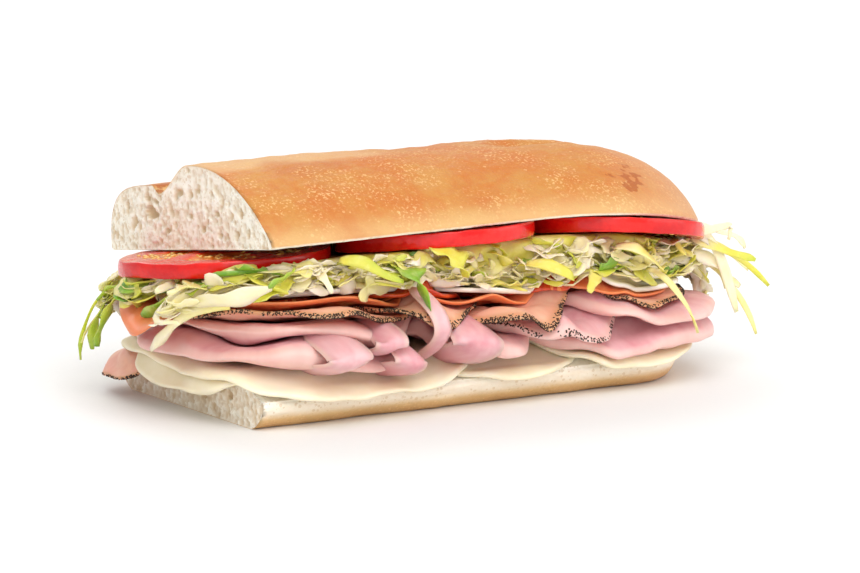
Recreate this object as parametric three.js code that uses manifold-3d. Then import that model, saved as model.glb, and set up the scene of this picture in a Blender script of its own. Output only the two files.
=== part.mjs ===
// Submarine sandwich: the heel half of a crusty roll, cut across at one end and filled.
// From the bottom up it holds cheese, ham, pepper-edged ham, cured pork, pepperoni, onion,
// shredded lettuce and tomato. Every slice is one sheet that runs through the filling,
// lies on the slices below it and hangs over the edge of the roll where it is too wide.
// The ham is folded, so its edge stands up in thick lobes with a rounded rim.
// X runs from the cut end to the rounded heel, -Y is the front, Z is up, and the origin
// lies at the middle of the roll's flat base. All sizes are in millimetres.
import * as THREE from 'three';
import { mergeVertices } from 'three/addons/utils/BufferGeometryUtils.js';
import Module from 'manifold-3d';

const wasm = await Module();
wasm.setup();

// Driving dimensions of the roll.
const cutX = -74; // the plane where the roll was cut across
const baseRoll = {
  heelX: 65.5, heelRound: 26, heelPower: 3.2, heelLift: 5, halfWidth: 38, footInset: 7,
  thick: 11.3, lip: 7.6, lipRun: 11, crown: 0.6, insetGain: 1.1, leastThick: 2, sideHigh: 6.2,
};
const topRoll = {
  heelX: 77, heelRun: 46, tallRun: 47.2, widePower: 2.2, tallPower: 2.5, halfWidth: 41.8, backWide: 2.4,
  edgeY: -42.6, edgeZ: 50.5, edgeLift: 1.2, underShare: 0.985, tilt: 9.35,
  sag: 6.8, sagFrom: 10, sagRun: 60,
};
const dome = {
  high: 19.4, cutRise: 2.2, riseTo: 10, riseRun: 60, flatDrop: 5.2, flatRun: 0.4,
  front: { power: 2.2, root: 0.9 }, back: { power: 3, root: 0.55 }, flat: { power: 8, root: 0.5 },
};
const slash = {
  startX: -76, endX: 12, valleyY: 16.6, slant: 0.25, depth: 2.6, frontRun: 15, lipRun: 4,
};
const heelSlash = {
  startX: 26, endX: 66, valleyY: -3, slant: 0.22, depth: 1.8, frontRun: 9, lipRun: 4,
};
const slashRun = { in: 14, out: 26 };

// Driving dimensions of the filling.
const clearance = 0.35; // air between two pieces that lie on each other
const edge = {
  leftX: -75, rightX: 65, halfWidth: 37.5, cutRound: 9, heelRound: 18, cornerRun: 30,
};
const bend = { radius: 6, angle: THREE.MathUtils.degToRad(62), squeeze: 0.5 };
const coverFade = { reach: 3, run: 8 }; // how the next slice comes down beyond a slice's rim
const meatTop = { frontLeft: 37.5, frontRight: 28, backLeft: 24, backRight: 22.5, startX: -60, run: 110 };
const ruffleRun = { start: -2, run: 9 };
const foldRun = { start: -16, run: 12, rim: 4.5, level: 0.66, lobes: 0.34, backLoss: 0.7 };
const tomatoForm = {
  thick: 4.3, spokes: 22, hollow: 0.7, hollowFrom: 0.54, hollowTo: 0.76, flatFrom: 0.42, flatTo: 0.86,
  skin: 0.985, ribs: 2.5, ribWide: 3, droop: 0.02, droopPower: 1.5, frontY: -37,
  chamfer: 0.1, spaceHigh: 13,
};

// All slices and the lettuce share one net of flat points, finer where they hang over the edge.
const netEnds = { left: [-93, -89, -85.5, -82, -78.5, -75], right: [65, 68.5, 72, 76, 80] };
const netStep = 8;
const netAcross = [-50, -46.5, -43, -40, -37, -28, -10, 10, 28, 37, 41, 45];

const clamp = (t, low = 0, high = 1) => Math.min(high, Math.max(low, t));
const smooth = (t) => clamp(t) ** 2 * (3 - 2 * clamp(t));
const mix = (a, b, t) => a + (b - a) * t;
const upTo = (count) => [...Array(count).keys()];
const wholeTurn = 2 * Math.PI;

// Solids and meshes: a closed triangle list becomes a manifold solid and a solid a geometry.
function solidFrom(points, triangles) {
  const loose = new THREE.BufferGeometry();
  loose.setAttribute('position', new THREE.Float32BufferAttribute(points.flat(), 3));
  loose.setIndex(triangles.flat());
  const merged = mergeVertices(loose, 1e-4);
  const mesh = new wasm.Mesh({
    numProp: 3,
    vertProperties: merged.attributes.position.array,
    triVerts: new Uint32Array(merged.index.array),
  });
  return new wasm.Manifold(mesh);
}

function geometryFrom(solid) {
  const mesh = solid.getMesh();
  const geometry = new THREE.BufferGeometry();
  const positions = new THREE.BufferAttribute(new Float32Array(mesh.vertProperties), 3);
  geometry.setAttribute('position', positions);
  geometry.setIndex(new THREE.BufferAttribute(new Uint32Array(mesh.triVerts), 1));
  geometry.computeVertexNormals();
  return geometry;
}

// A closed solid lofted through rings of points, each ring listed the same way round.
function loft(rings) {
  const count = rings[0].length;
  const points = rings.flat();
  const triangles = [];
  rings.slice(1).forEach((_, i) => {
    for (let j = 0; j < count; j += 1) {
      const a = i * count + j;
      const b = i * count + ((j + 1) % count);
      triangles.push([a, b, b + count], [a, b + count, a + count]);
    }
  });
  for (const [start, flip] of [[0, true], [(rings.length - 1) * count, false]]) {
    const ring = points.slice(start, start + count);
    const middle = ring.reduce((sum, p) => sum.map((s, k) => s + p[k] / count), [0, 0, 0]);
    points.push(middle);
    const tip = points.length - 1;
    for (let j = 0; j < count; j += 1) {
      const side = [start + j, start + ((j + 1) % count)];
      triangles.push(flip ? [side[1], side[0], tip] : [side[0], side[1], tip]);
    }
  }
  return solidFrom(points, triangles);
}

// The roll: its two halves taper alike at the heel.
const tiltAngle = THREE.MathUtils.degToRad(topRoll.tilt);
const chordMiddle = {
  y: topRoll.edgeY + topRoll.halfWidth * Math.cos(tiltAngle),
  z: topRoll.edgeZ - topRoll.halfWidth * Math.sin(tiltAngle),
};

function heelShape(x, heelX, run, power) {
  const t = clamp((x - (heelX - run)) / run);
  return (1 - t ** power) ** (1 / power);
}

const topSag = (x) => topRoll.sag * Math.max(0, (x - topRoll.sagFrom) / topRoll.sagRun) ** 2;

function topUnder(x, y) {
  return chordMiddle.z - (y - chordMiddle.y) * Math.tan(tiltAngle) - topSag(x);
}

function slashFade(x, cut) {
  const into = smooth((x - cut.startX + slashRun.in) / slashRun.in);
  return into * (1 - smooth((x - cut.endX + slashRun.out) / slashRun.out));
}

function slashDepth(x, y, cut) {
  const valley = cut.valleyY + cut.slant * (x - cut.startX);
  const side = y < valley ? (valley - y) / cut.frontRun : (y - valley) / cut.lipRun;
  return cut.depth * slashFade(x, cut) * (1 - smooth(side));
}

// The dome over the roll: round, but behind the score it is flat-topped with a steep back.
function domeHeight(across, x) {
  const high = dome.high + dome.cutRise * (1 - smooth((x - dome.riseTo + dome.riseRun) / dome.riseRun));
  const shaped = ({ power, root }) => Math.max(0, 1 - Math.abs(across) ** power) ** root;
  if (across < 0) return high * shaped(dome.front);
  const flat = (high - dome.flatDrop * smooth(across / dome.flatRun)) * shaped(dome.flat);
  return mix(high * shaped(dome.back), flat, slashFade(x, slash));
}

function topSection(x) {
  const wide = topRoll.halfWidth * heelShape(x, topRoll.heelX, topRoll.heelRun, topRoll.widePower);
  const tall = heelShape(x, topRoll.heelX, topRoll.tallRun, topRoll.tallPower);
  const place = (across, up) => {
    const along = across * (wide + topRoll.backWide * smooth(across) * slashFade(x, slash));
    return [
      x,
      chordMiddle.y + along * Math.cos(tiltAngle) + up * Math.sin(tiltAngle),
      chordMiddle.z - along * Math.sin(tiltAngle) + up * Math.cos(tiltAngle) - topSag(x),
    ];
  };
  const underCount = 7;
  const overCount = 21;
  const under = upTo(underCount).map((i) => place(topRoll.underShare * (1 - (2 * i) / (underCount - 1)), 0));
  const over = upTo(overCount).map((i) => {
    const across = -Math.cos((Math.PI * i) / (overCount - 1));
    const [px, py, pz] = place(across, topRoll.edgeLift + domeHeight(across, x) * tall);
    return [px, py, pz - (slashDepth(x, py, slash) + slashDepth(x, py, heelSlash)) * tall];
  });
  return [...over, ...under].reverse();
}

// Large pores that the cut opened: rounded hollows in the crumb.
const pores = [
  { y: 17.2, z: 50.2, wide: 2.3, tall: 2, deep: 2.6 },
  { y: 20.6, z: 53.2, wide: 2.2, tall: 1.1, deep: 1.6 },
  { y: -2.5, z: 58.6, wide: 1.9, tall: 1.2, deep: 1.4 },
  { y: -30, z: 52.6, wide: 1.2, tall: 1.6, deep: 1.3 },
  { y: -28.5, z: 56.4, wide: 1, tall: 1.5, deep: 1.2 },
  { y: 31, z: 48.5, wide: 1, tall: 1.6, deep: 1.2 },
  { y: -9.5, z: 52.2, wide: 1.5, tall: 1, deep: 1.1 },
];

function poreSolid({ y, z, wide, tall, deep }) {
  const ball = new THREE.IcosahedronGeometry(1, 1);
  ball.deleteAttribute('normal');
  ball.deleteAttribute('uv');
  ball.scale(deep, wide, tall);
  ball.translate(cutX, y, z);
  const { attributes, index } = mergeVertices(ball, 1e-4);
  const points = upTo(attributes.position.count).map((i) => (
    new THREE.Vector3().fromBufferAttribute(attributes.position, i).toArray()
  ));
  return solidFrom(points, [[...index.array]]);
}

function topBread() {
  const stations = [
    cutX, -68, -57, -45, -32, -19, -6, 7, 20, 31, 41, 50, 57, 63, 68, 71.6, 74.4, 76.2,
  ];
  return pores.reduce((bread, pore) => bread.subtract(poreSolid(pore)), loft(stations.map(topSection)));
}

function baseTop(x, y) {
  const beyond = Math.abs(y) - baseRoll.halfWidth + baseRoll.lipRun;
  return mix(baseRoll.thick, baseRoll.lip, smooth(beyond / baseRoll.lipRun));
}

// A section of the base: a flat foot, a side that rounds outwards, and the sawn top.
const baseSide = [
  { out: 0, lift: 0.4, up: 0 }, { out: 0.6, lift: 0.7, up: 1.2 }, { out: 0.94, lift: 1, up: 3.6 },
];

function baseSection(x) {
  const shape = heelShape(x, baseRoll.heelX, baseRoll.heelRound, baseRoll.heelPower);
  const wide = baseRoll.halfWidth * shape;
  const lift = baseRoll.heelLift * (1 - shape);
  const inset = baseRoll.footInset * Math.min(1, baseRoll.insetGain * shape);
  const top = (y) => Math.max(lift + baseRoll.leastThick, baseTop(x, y));
  const side = (s) => [
    ...baseSide.map((p) => [x, s * (wide - inset * (1 - p.out)), lift * p.lift + p.up]),
    [x, s * wide, Math.min(top(wide), lift + baseRoll.sideHigh)],
  ];
  const topCount = 9;
  const half = wide - baseRoll.crown;
  const over = upTo(topCount).map((i) => {
    const y = mix(half, -half, i / (topCount - 1));
    return [x, y, top(y) + baseRoll.crown];
  });
  return [...over, ...side(-1).reverse(), ...side(1)];
}

function baseBread() {
  const stations = [cutX, -60, -43, -25, -8, 10, 26, 38, 47, 54.5, 60, 63, 64.7, 65.3];
  return loft(stations.map(baseSection));
}

// The slices, from the bottom up: the centre and half sizes of each on the flat, how square its
// outline is, its thickness, the share of the filling's loose air that lies below it, the waves
// of its rim, and the bulge of its folded edge.
const still = { depth: 0, length: 30, phase: 0 };
const wave = (depth, length, phase) => ({ depth, length, phase });
const slices = [
  { name: 'pepper_ham_1', x: -70, y: 26, rx: 17, ry: 17, square: 2, thick: 1.1, air: 0 },
  {
    name: 'cheese_1', x: -62, y: -6, rx: 22, ry: 26, square: 4, thick: 1.6, air: 0,
    ruffle: wave(0.5, 30, 2),
  },
  {
    name: 'cheese_2', x: 6, y: -3, rx: 34, ry: 39.5, square: 2, thick: 1.6, air: 0,
    ruffle: wave(0.3, 60, 1),
  },
  {
    name: 'cheese_3', x: -42, y: -1, rx: 39, ry: 41.5, square: 4, thick: 1.6, air: 0,
    ruffle: wave(0.4, 52, 2),
  },
  {
    name: 'cheese_4', x: 40, y: -3, rx: 32, ry: 40, square: 2.3, thick: 1.6, air: 0,
    ruffle: wave(0.3, 50, 0),
  },
  {
    name: 'ham_1', x: -51, y: -2, rx: 29, ry: 39, square: 3.4, thick: 2.2, air: 0.4,
    ruffle: wave(1, 46, 3.6), fold: wave(6.2, 46, 3.6),
  },
  {
    name: 'ham_2', x: 40, y: -6, rx: 33, ry: 35.5, square: 3, thick: 2.2, air: 0.05,
    ruffle: wave(0.8, 52, 0.4), fold: wave(4.4, 46, 0.6),
  },
  {
    name: 'ham_3', x: -6, y: -7, rx: 23, ry: 35, square: 2.6, thick: 1.5, air: 0.45,
    ruffle: wave(1.3, 21, 2.4), fold: wave(5.2, 23, 1.4),
  },
  {
    name: 'ham_4', x: 18, y: -8, rx: 27, ry: 34, square: 2.6, thick: 1.5, air: 0.3,
    ruffle: wave(0.7, 38, 0.2), fold: wave(3.8, 50, 2.8),
  },
  {
    name: 'ham_5', x: -48, y: -4, rx: 29, ry: 36, square: 3, thick: 1.5, air: 0.5,
    ruffle: wave(1, 34, 4.4), fold: wave(5.4, 46, 0.6),
  },
  {
    name: 'ham_6', x: 45, y: -8, rx: 26, ry: 33, square: 2.6, thick: 1.6, air: 0.4,
    ruffle: wave(0.6, 40, 2.2), fold: wave(3.2, 40, 3.6),
  },
  {
    name: 'pepper_ham_2', x: -48, y: -3, rx: 32, ry: 37, square: 3, thick: 1, air: 0.7,
    ruffle: wave(0.7, 25, 1.5), fold: wave(0.8, 30, 1),
  },
  {
    name: 'pepper_ham_3', x: 5, y: -8, rx: 24, ry: 33.5, square: 2.8, thick: 1, air: 0.66,
    ruffle: wave(0.4, 50, 2),
  },
  {
    name: 'pepper_ham_4', x: -22, y: -8, rx: 24, ry: 33, square: 2.3, thick: 0.9, air: 0.8,
    ruffle: wave(0.9, 22, 0.5), fold: wave(0.8, 22, 2),
  },
  {
    name: 'pepper_ham_5', x: 45, y: -8, rx: 23, ry: 32, square: 2, thick: 1, air: 0.76,
    ruffle: wave(0.4, 34, 1),
  },
  {
    name: 'capicola_1', x: -50, y: -2, rx: 31, ry: 36, square: 2.8, thick: 0.9, air: 0.88,
    ruffle: wave(0.4, 24, 2.4),
  },
  {
    name: 'capicola_2', x: -6, y: -6, rx: 29, ry: 31.5, square: 3, thick: 0.8, air: 0.9,
    ruffle: wave(0.3, 30, 1.7),
  },
  {
    name: 'capicola_3', x: 37, y: -6, rx: 27, ry: 31.5, square: 2.4, thick: 0.9, air: 0.92,
    ruffle: wave(0.3, 30, 0),
  },
  { name: 'pepperoni_1', x: -58, y: 1, rx: 20, ry: 27, square: 2, thick: 1.2, air: 0.96 },
  { name: 'pepperoni_2', x: -24, y: -8, rx: 24, ry: 29, square: 2, thick: 1.2, air: 0.97 },
  { name: 'pepperoni_3', x: 19, y: -9, rx: 24, ry: 27, square: 2, thick: 1.2, air: 0.98 },
  { name: 'onion_1', x: -45, y: -8, rx: 27, ry: 28, square: 2.4, thick: 1.5, air: 1 },
  { name: 'onion_2', x: 0, y: -9, rx: 27, ry: 28, square: 2.4, thick: 1.3, air: 1 },
  { name: 'onion_3', x: 42, y: -10, rx: 24, ry: 27, square: 2.4, thick: 1.5, air: 1 },
].map((s) => ({ ruffle: still, fold: still, ...s }));

// How far a point of the flat filling lies outside the edge that the slices hang over, the
// direction straight out, the nearest point of the edge, and how far round the edge that is.
function beyondEdge(u, v) {
  const middle = (edge.leftX + edge.rightX) / 2;
  const half = (edge.rightX - edge.leftX) / 2;
  const corner = u < middle ? edge.cutRound : edge.heelRound;
  const qx = Math.abs(u - middle) - half + corner;
  const qy = Math.abs(v) - edge.halfWidth + corner;
  const away = Math.hypot(Math.max(qx, 0), Math.max(qy, 0));
  const d = Math.min(Math.max(qx, qy), 0) + away - corner;
  const flat = qx > qy ? [1, 0] : [0, 1];
  const [ax, ay] = away > 0 ? [Math.max(qx, 0) / away, Math.max(qy, 0) / away] : flat;
  const nx = ax * Math.sign(u - middle);
  const ny = ay * Math.sign(v);
  const back = Math.max(d, 0);
  const bx = u - nx * back;
  const by = v - ny * back;
  const walk = bx + clamp((bx - middle) / edge.cornerRun, -1, 1) * (by + edge.halfWidth);
  return { d, nx, ny, bx, by, walk };
}

function beyondRim(s, u, v) {
  const a = Math.abs(u - s.x) / s.rx;
  const b = Math.abs(v - s.y) / s.ry;
  return ((a ** s.square + b ** s.square) ** (1 / s.square) - 1) * Math.min(s.rx, s.ry);
}

const acrossShare = (y) => clamp((y + edge.halfWidth) / (2 * edge.halfWidth));

function meatTopAt(x, y) {
  const along = smooth((x - meatTop.startX) / meatTop.run);
  const front = mix(meatTop.frontLeft, meatTop.frontRight, along);
  return mix(front, mix(meatTop.backLeft, meatTop.backRight, along), acrossShare(y));
}

const swell = ({ length, phase }, walk) => Math.sin((wholeTurn * walk) / length + phase);

function ruffleOf(s, out) {
  const share = smooth((out.d - ruffleRun.start) / ruffleRun.run);
  return s.ruffle.depth * share * (1 + swell(s.ruffle, out.walk));
}

// How much the folded edge of a slice stands up, and the part of it left by its rounded rim.
function foldOf(s, out) {
  const lobes = foldRun.level + foldRun.lobes * swell(s.fold, out.walk);
  const share = smooth((out.d - foldRun.start) / foldRun.run);
  return s.fold.depth * lobes * share * (1 - foldRun.backLoss * acrossShare(out.by));
}

const rimRound = (s, u, v) => Math.sqrt(1 - clamp(1 + beyondRim(s, u, v) / foldRun.rim) ** 2);

// The shared net, and for each of its points the height of every slice above the bread.
const spanCount = Math.round((netEnds.right[0] - netEnds.left.at(-1)) / netStep);
const netAlong = [
  ...netEnds.left,
  ...upTo(spanCount - 1).map((i) => (
    mix(netEnds.left.at(-1), netEnds.right[0], (i + 1) / spanCount)
  )),
  ...netEnds.right,
];
const net = netAlong.flatMap((u) => netAcross.map((v) => ({ u, v, out: beyondEdge(u, v) })));
const netAt = (i, j) => i * netAcross.length + j;
const netTriangles = netAlong.slice(1).flatMap((_, i) => netAcross.slice(1).flatMap((__, j) => {
  const corners = [netAt(i, j), netAt(i + 1, j), netAt(i + 1, j + 1), netAt(i, j + 1)];
  return [[0, 1, 2], [0, 2, 3]].map((pick) => pick.map((k) => corners[k]));
}));

// How much of a slice's thickness the next one has to clear at each net point: all of it in
// every triangle that the slice touches, and less further out.
function coverOf(s) {
  const full = new Set();
  netTriangles.forEach((corners) => {
    const touched = corners.some((n) => beyondRim(s, net[n].u, net[n].v) < 0);
    if (touched) corners.forEach((n) => full.add(n));
  });
  return net.map(({ u, v }, n) => (
    full.has(n) ? 1 : 1 - smooth((beyondRim(s, u, v) - coverFade.reach) / coverFade.run)
  ));
}

const covers = slices.map(coverOf);
net.forEach((point, n) => {
  const { u, v, out } = point;
  const turn = clamp(out.d / bend.radius, 0, bend.angle);
  const squeeze = bend.squeeze * Math.sin(turn) ** 2 + Math.cos(turn) ** 2;
  const floor = baseTop(out.bx, out.by) + baseRoll.crown + 2 * clearance;
  const folds = slices.map((s) => foldOf(s, out));
  const total = slices.reduce((sum, s, i) => sum + (s.thick + folds[i] + clearance) * covers[i][n], 0);
  const air = Math.max(0, meatTopAt(out.bx, out.by) - floor - total);
  let pile = 0;
  point.sheets = slices.map((s, i) => {
    const ruffle = ruffleOf(s, out);
    const left = rimRound(s, u, v);
    const high = pile / squeeze + s.air * air + ruffle;
    const low = 0.5 * folds[i] * (1 - left);
    pile += (s.thick + folds[i] + clearance + ruffle) * covers[i][n];
    return { high, low, up: low + s.thick + folds[i] * left };
  });
  Object.assign(point, { turn, floor, top: pile / squeeze + air });
});

// The place of a net point that lies `high` above the bread, and h further along its normal.
function draped({ u, v, out, turn, floor }, high, h) {
  const rest = Math.max(0, out.d - bend.radius * bend.angle);
  const reach = (bend.radius + high * bend.squeeze + h) * Math.sin(turn) + rest * Math.cos(turn);
  const push = reach - Math.max(out.d, 0);
  const drop = bend.radius * (1 - Math.cos(turn)) + rest * Math.sin(turn);
  return [u + out.nx * push, v + out.ny * push, floor + (high + h) * Math.cos(turn) - drop];
}

// A sheet over the net: every net triangle is kept as far as it lies inside the outline. A rim
// point stays this share of a net line away from the line's ends.
const rimMargin = 0.15;

function sheetSolid(outside, lowAt, highAt) {
  const points = [];
  const triangles = [];
  const known = new Map();
  const pair = (key, low, high) => {
    if (!known.has(key)) {
      known.set(key, points.length);
      points.push(low, high);
    }
    return known.get(key);
  };
  const corner = (n) => pair(`${n}`, lowAt(net[n], n), highAt(net[n], n));
  const crossing = (a, b) => {
    const [p, q] = a < b ? [a, b] : [b, a];
    const t = clamp(outside[p] / (outside[p] - outside[q]), rimMargin, 1 - rimMargin);
    const blend = (at) => at(net[p], p).map((c, k) => mix(c, at(net[q], q)[k], t));
    return pair(`${p}-${q}`, blend(lowAt), blend(highAt));
  };
  netTriangles.forEach((corners) => {
    const ring = [];
    const rim = [];
    corners.forEach((n, k) => {
      const next = corners[(k + 1) % 3];
      if (outside[n] < 0) ring.push(corner(n));
      if (outside[n] < 0 !== outside[next] < 0) {
        const at = crossing(n, next);
        rim.push([at, outside[n] < 0]);
        ring.push(at);
      }
    });
    for (let k = 1; k < ring.length - 1; k += 1) {
      triangles.push([ring[0] + 1, ring[k] + 1, ring[k + 1] + 1], [ring[k + 1], ring[k], ring[0]]);
    }
    if (rim.length === 2) {
      const [from, to] = rim[0][1] ? [rim[0][0], rim[1][0]] : [rim[1][0], rim[0][0]];
      triangles.push([from, to, to + 1], [from, to + 1, from + 1]);
    }
  });
  return solidFrom(points, triangles);
}

function sliceSolid(s, i) {
  return sheetSolid(
    net.map(({ u, v }) => beyondRim(s, u, v)),
    (point) => draped(point, point.sheets[i].high, point.sheets[i].low),
    (point) => draped(point, point.sheets[i].high, point.sheets[i].up),
  );
}

// Tomato slices: they follow the roll above them, and one may lean down towards the front.
const tomatoes = [
  { name: 'tomato_1', x: -62.5, y: 1, r: 28.6, lean: 0.1 },
  { name: 'tomato_2', x: -8.5, y: -17, r: 27, lean: 0 },
  { name: 'tomato_3', x: 46, y: -17, r: 26.5, lean: 0 },
];

function tomatoUnder(t, x, y) {
  const out = Math.max(0, cutX - x, tomatoForm.frontY - y);
  const down = tomatoForm.droop * out ** tomatoForm.droopPower + t.lean * Math.max(0, -y);
  return topUnder(x, y) - clearance - tomatoForm.thick - down;
}

// A tomato slice, or the room that it needs: `room` widens it and opens it upwards.
function tomatoSolid(t, room = 0) {
  const form = tomatoForm;
  const flat = form.thick;
  const sunk = form.thick - form.hollow;
  const slice = [
    [form.flatFrom, flat], [form.hollowFrom, sunk], [form.hollowTo, sunk], [form.flatTo, flat],
    [form.skin, flat - form.chamfer], [1, flat / 2], [form.skin, form.chamfer], [form.flatTo, 0],
  ];
  const space = [
    [form.skin, form.spaceHigh], [1, form.spaceHigh], [1, -room], [form.skin, -room],
  ];
  const rings = (room ? space : slice).map(([share, up]) => upTo(form.spokes).map((i) => {
    const angle = (wholeTurn * i) / form.spokes;
    const rib = 1 - smooth(Math.abs(Math.sin(form.ribs * angle)) * form.ribWide);
    const reach = (t.r + room) * share;
    const x = t.x + Math.cos(angle) * reach;
    const y = t.y + Math.sin(angle) * reach;
    return [x, y, tomatoUnder(t, x, y) + up + (up === sunk ? form.hollow * rib : 0)];
  }));
  return loft(rings.reverse());
}

// Lettuce: a core that fills the room below the roll round the tomato, and shreds that stand
// out of its side.
const lettuce = {
  leftX: -78, rightX: 70, halfWidth: 36, cutRound: 12, heelRound: 28, waves: 1.2, waveX: 4.1,
  waveY: 3.3, slant: 9, least: 1.2, riseY: -8, riseRun: 14, seed: 7,
};
const shredForm = {
  count: 66, steps: 3, wide: [3, 6.5], thick: 0.9, reach: [2.5, 7], swing: 38, fall: [1, 5],
  freeShare: 0.2, freeReach: 2, rise: 3, depth: 4, bow: 0.45, taper: 0.45, inside: 0.8, tries: 25,
};

function lettuceOutside(u, v) {
  const middle = (lettuce.leftX + lettuce.rightX) / 2;
  const corner = u < middle ? lettuce.cutRound : lettuce.heelRound;
  const qx = Math.abs(u - middle) - (lettuce.rightX - lettuce.leftX) / 2 + corner;
  const qy = Math.abs(v) - lettuce.halfWidth + corner;
  const wavy = Math.sin(u / lettuce.waveX) + Math.sin(v / lettuce.waveY + u / lettuce.slant);
  const away = Math.hypot(Math.max(qx, 0), Math.max(qy, 0));
  return away + Math.min(Math.max(qx, qy), 0) - corner + lettuce.waves * wavy;
}

const lettuceLow = (point) => draped(point, point.top + clearance, 0);

function lettuceHigh(point) {
  const [x, y, z] = lettuceLow(point);
  const step = tomatoForm.thick * (1 - smooth((y - lettuce.riseY) / lettuce.riseRun));
  return [x, y, Math.max(z + lettuce.least, topUnder(x, y) - 4 * clearance - step)];
}

function lettuceCore() {
  const whole = sheetSolid(net.map(({ u, v }) => lettuceOutside(u, v)), lettuceLow, lettuceHigh);
  return tomatoes.reduce((core, t) => core.subtract(tomatoSolid(t, 2 * clearance)), whole);
}

function randomFrom(seed) {
  let state = seed;
  return () => {
    state = (state * 1664525 + 1013904223) % 4294967296;
    return state / 4294967296;
  };
}

// One shred: a flat strip along a quadratic curve, given its width.
function strip(from, bow, to, wide) {
  const { steps, thick, taper } = shredForm;
  const curve = new THREE.QuadraticBezierCurve3(from, bow, to);
  const rings = upTo(steps + 1).map((i) => {
    const p = curve.getPoint(i / steps);
    const along = curve.getTangent(i / steps);
    const side = new THREE.Vector3().crossVectors(along, new THREE.Vector3(0, 0, 1)).normalize();
    const up = new THREE.Vector3().crossVectors(side, along).normalize();
    const w = (wide / 2) * (1 - taper * (i / steps) ** 2);
    const corners = [[-w, -thick / 2], [w, -thick / 2], [w, thick / 2], [-w, thick / 2]];
    return corners.map(([a, b]) => p.clone().addScaledVector(side, a).addScaledVector(up, b).toArray());
  });
  return loft(rings.map((ring) => ring.reverse()));
}

// A shred starts inside the core's side wall and swings out of it; one that would cross another
// piece is drawn again.
function lettuceShreds(obstacles) {
  const random = randomFrom(lettuce.seed);
  const side = net.filter(({ u, v }) => Math.abs(lettuceOutside(u, v) + shredForm.depth) < shredForm.depth);
  const found = [];
  for (let tries = 0; tries < shredForm.tries * shredForm.count; tries += 1) {
    if (found.length === shredForm.count) break;
    const start = side[Math.floor(random() * side.length)];
    const low = new THREE.Vector3(...lettuceLow(start));
    const room = lettuceHigh(start)[2] - low.z;
    const from = low.clone().setZ(low.z + mix(shredForm.inside, Math.max(room, 1), random()));
    const out = new THREE.Vector3(start.out.nx, start.out.ny, 0);
    const along = new THREE.Vector3(-start.out.ny, start.out.nx, 0);
    const swing = (random() - 0.5) * shredForm.swing;
    const far = mix(...shredForm.reach, random());
    const free = random() < shredForm.freeShare;
    const bow = from.clone().addScaledVector(out, far).addScaledVector(along, swing * shredForm.bow);
    const ahead = free ? far + shredForm.freeReach : 0;
    const to = from.clone().addScaledVector(out, ahead).addScaledVector(along, swing);
    to.z += free ? -mix(...shredForm.fall, random()) : shredForm.rise * (random() - 0.5);
    const shred = strip(from, bow, to, mix(...shredForm.wide, random()));
    if (shred.volume() > 0 && obstacles.every((piece) => piece.intersect(shred).isEmpty())) {
      found.push(shred);
    }
  }
  return found;
}

// Colours of the pieces, by the first words of their names.
const looks = [
  ['bread', { color: '#d99a55', roughness: 0.75 }],
  ['cheese', { color: '#f0dcb4', roughness: 0.45 }],
  ['ham', { color: '#dfa09a', roughness: 0.4 }],
  ['pepper_ham', { color: '#c9897a', roughness: 0.45 }],
  ['capicola', { color: '#c96f55', roughness: 0.4 }],
  ['pepperoni', { color: '#c4481f', roughness: 0.4 }],
  ['onion', { color: '#f0ead6', roughness: 0.3 }],
  ['lettuce', { color: '#b9c267', roughness: 0.45 }],
  ['tomato', { color: '#c8201c', roughness: 0.25 }],
];

function pieceMesh(name, solid) {
  const [, look] = looks.find(([start]) => name.startsWith(start));
  const mesh = new THREE.Mesh(geometryFrom(solid), new THREE.MeshStandardMaterial(look));
  mesh.name = name;
  return mesh;
}

const sandwich = new THREE.Group();
const pieces = [
  ['bread_base', baseBread()],
  ...slices.map((s, i) => [s.name, sliceSolid(s, i)]),
  ...tomatoes.map((t) => [t.name, tomatoSolid(t)]),
  ['bread_top', topBread()],
];
const shreds = lettuceShreds(pieces.map(([, solid]) => solid));
pieces.push(['lettuce', shreds.reduce((sum, shred) => sum.add(shred), lettuceCore())]);
pieces.forEach(([name, solid]) => sandwich.add(pieceMesh(name, solid)));

export default sandwich;
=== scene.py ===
# The submarine sandwich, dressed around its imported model: a crusty roll with real crumb at the
# cuts, slices that drape over its edge, shredded lettuce and wet tomato slices.
import math
import bpy
import numpy as np
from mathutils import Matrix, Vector


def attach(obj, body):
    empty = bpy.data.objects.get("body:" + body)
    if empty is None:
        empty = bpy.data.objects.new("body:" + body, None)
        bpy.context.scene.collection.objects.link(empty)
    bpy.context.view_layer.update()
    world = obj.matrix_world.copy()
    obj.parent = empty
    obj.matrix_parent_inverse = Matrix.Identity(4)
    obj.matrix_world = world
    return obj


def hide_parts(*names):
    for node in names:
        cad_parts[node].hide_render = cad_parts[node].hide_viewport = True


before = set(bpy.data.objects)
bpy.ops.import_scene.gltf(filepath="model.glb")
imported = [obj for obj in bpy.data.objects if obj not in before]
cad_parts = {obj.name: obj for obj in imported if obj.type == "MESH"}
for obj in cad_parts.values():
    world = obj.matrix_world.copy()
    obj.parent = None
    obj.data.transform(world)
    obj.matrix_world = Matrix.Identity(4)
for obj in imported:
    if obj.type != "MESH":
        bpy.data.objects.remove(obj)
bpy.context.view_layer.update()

mm = 0.001
tau = 2 * math.pi
print("frame loaded:", len(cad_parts), "nodes")

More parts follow.
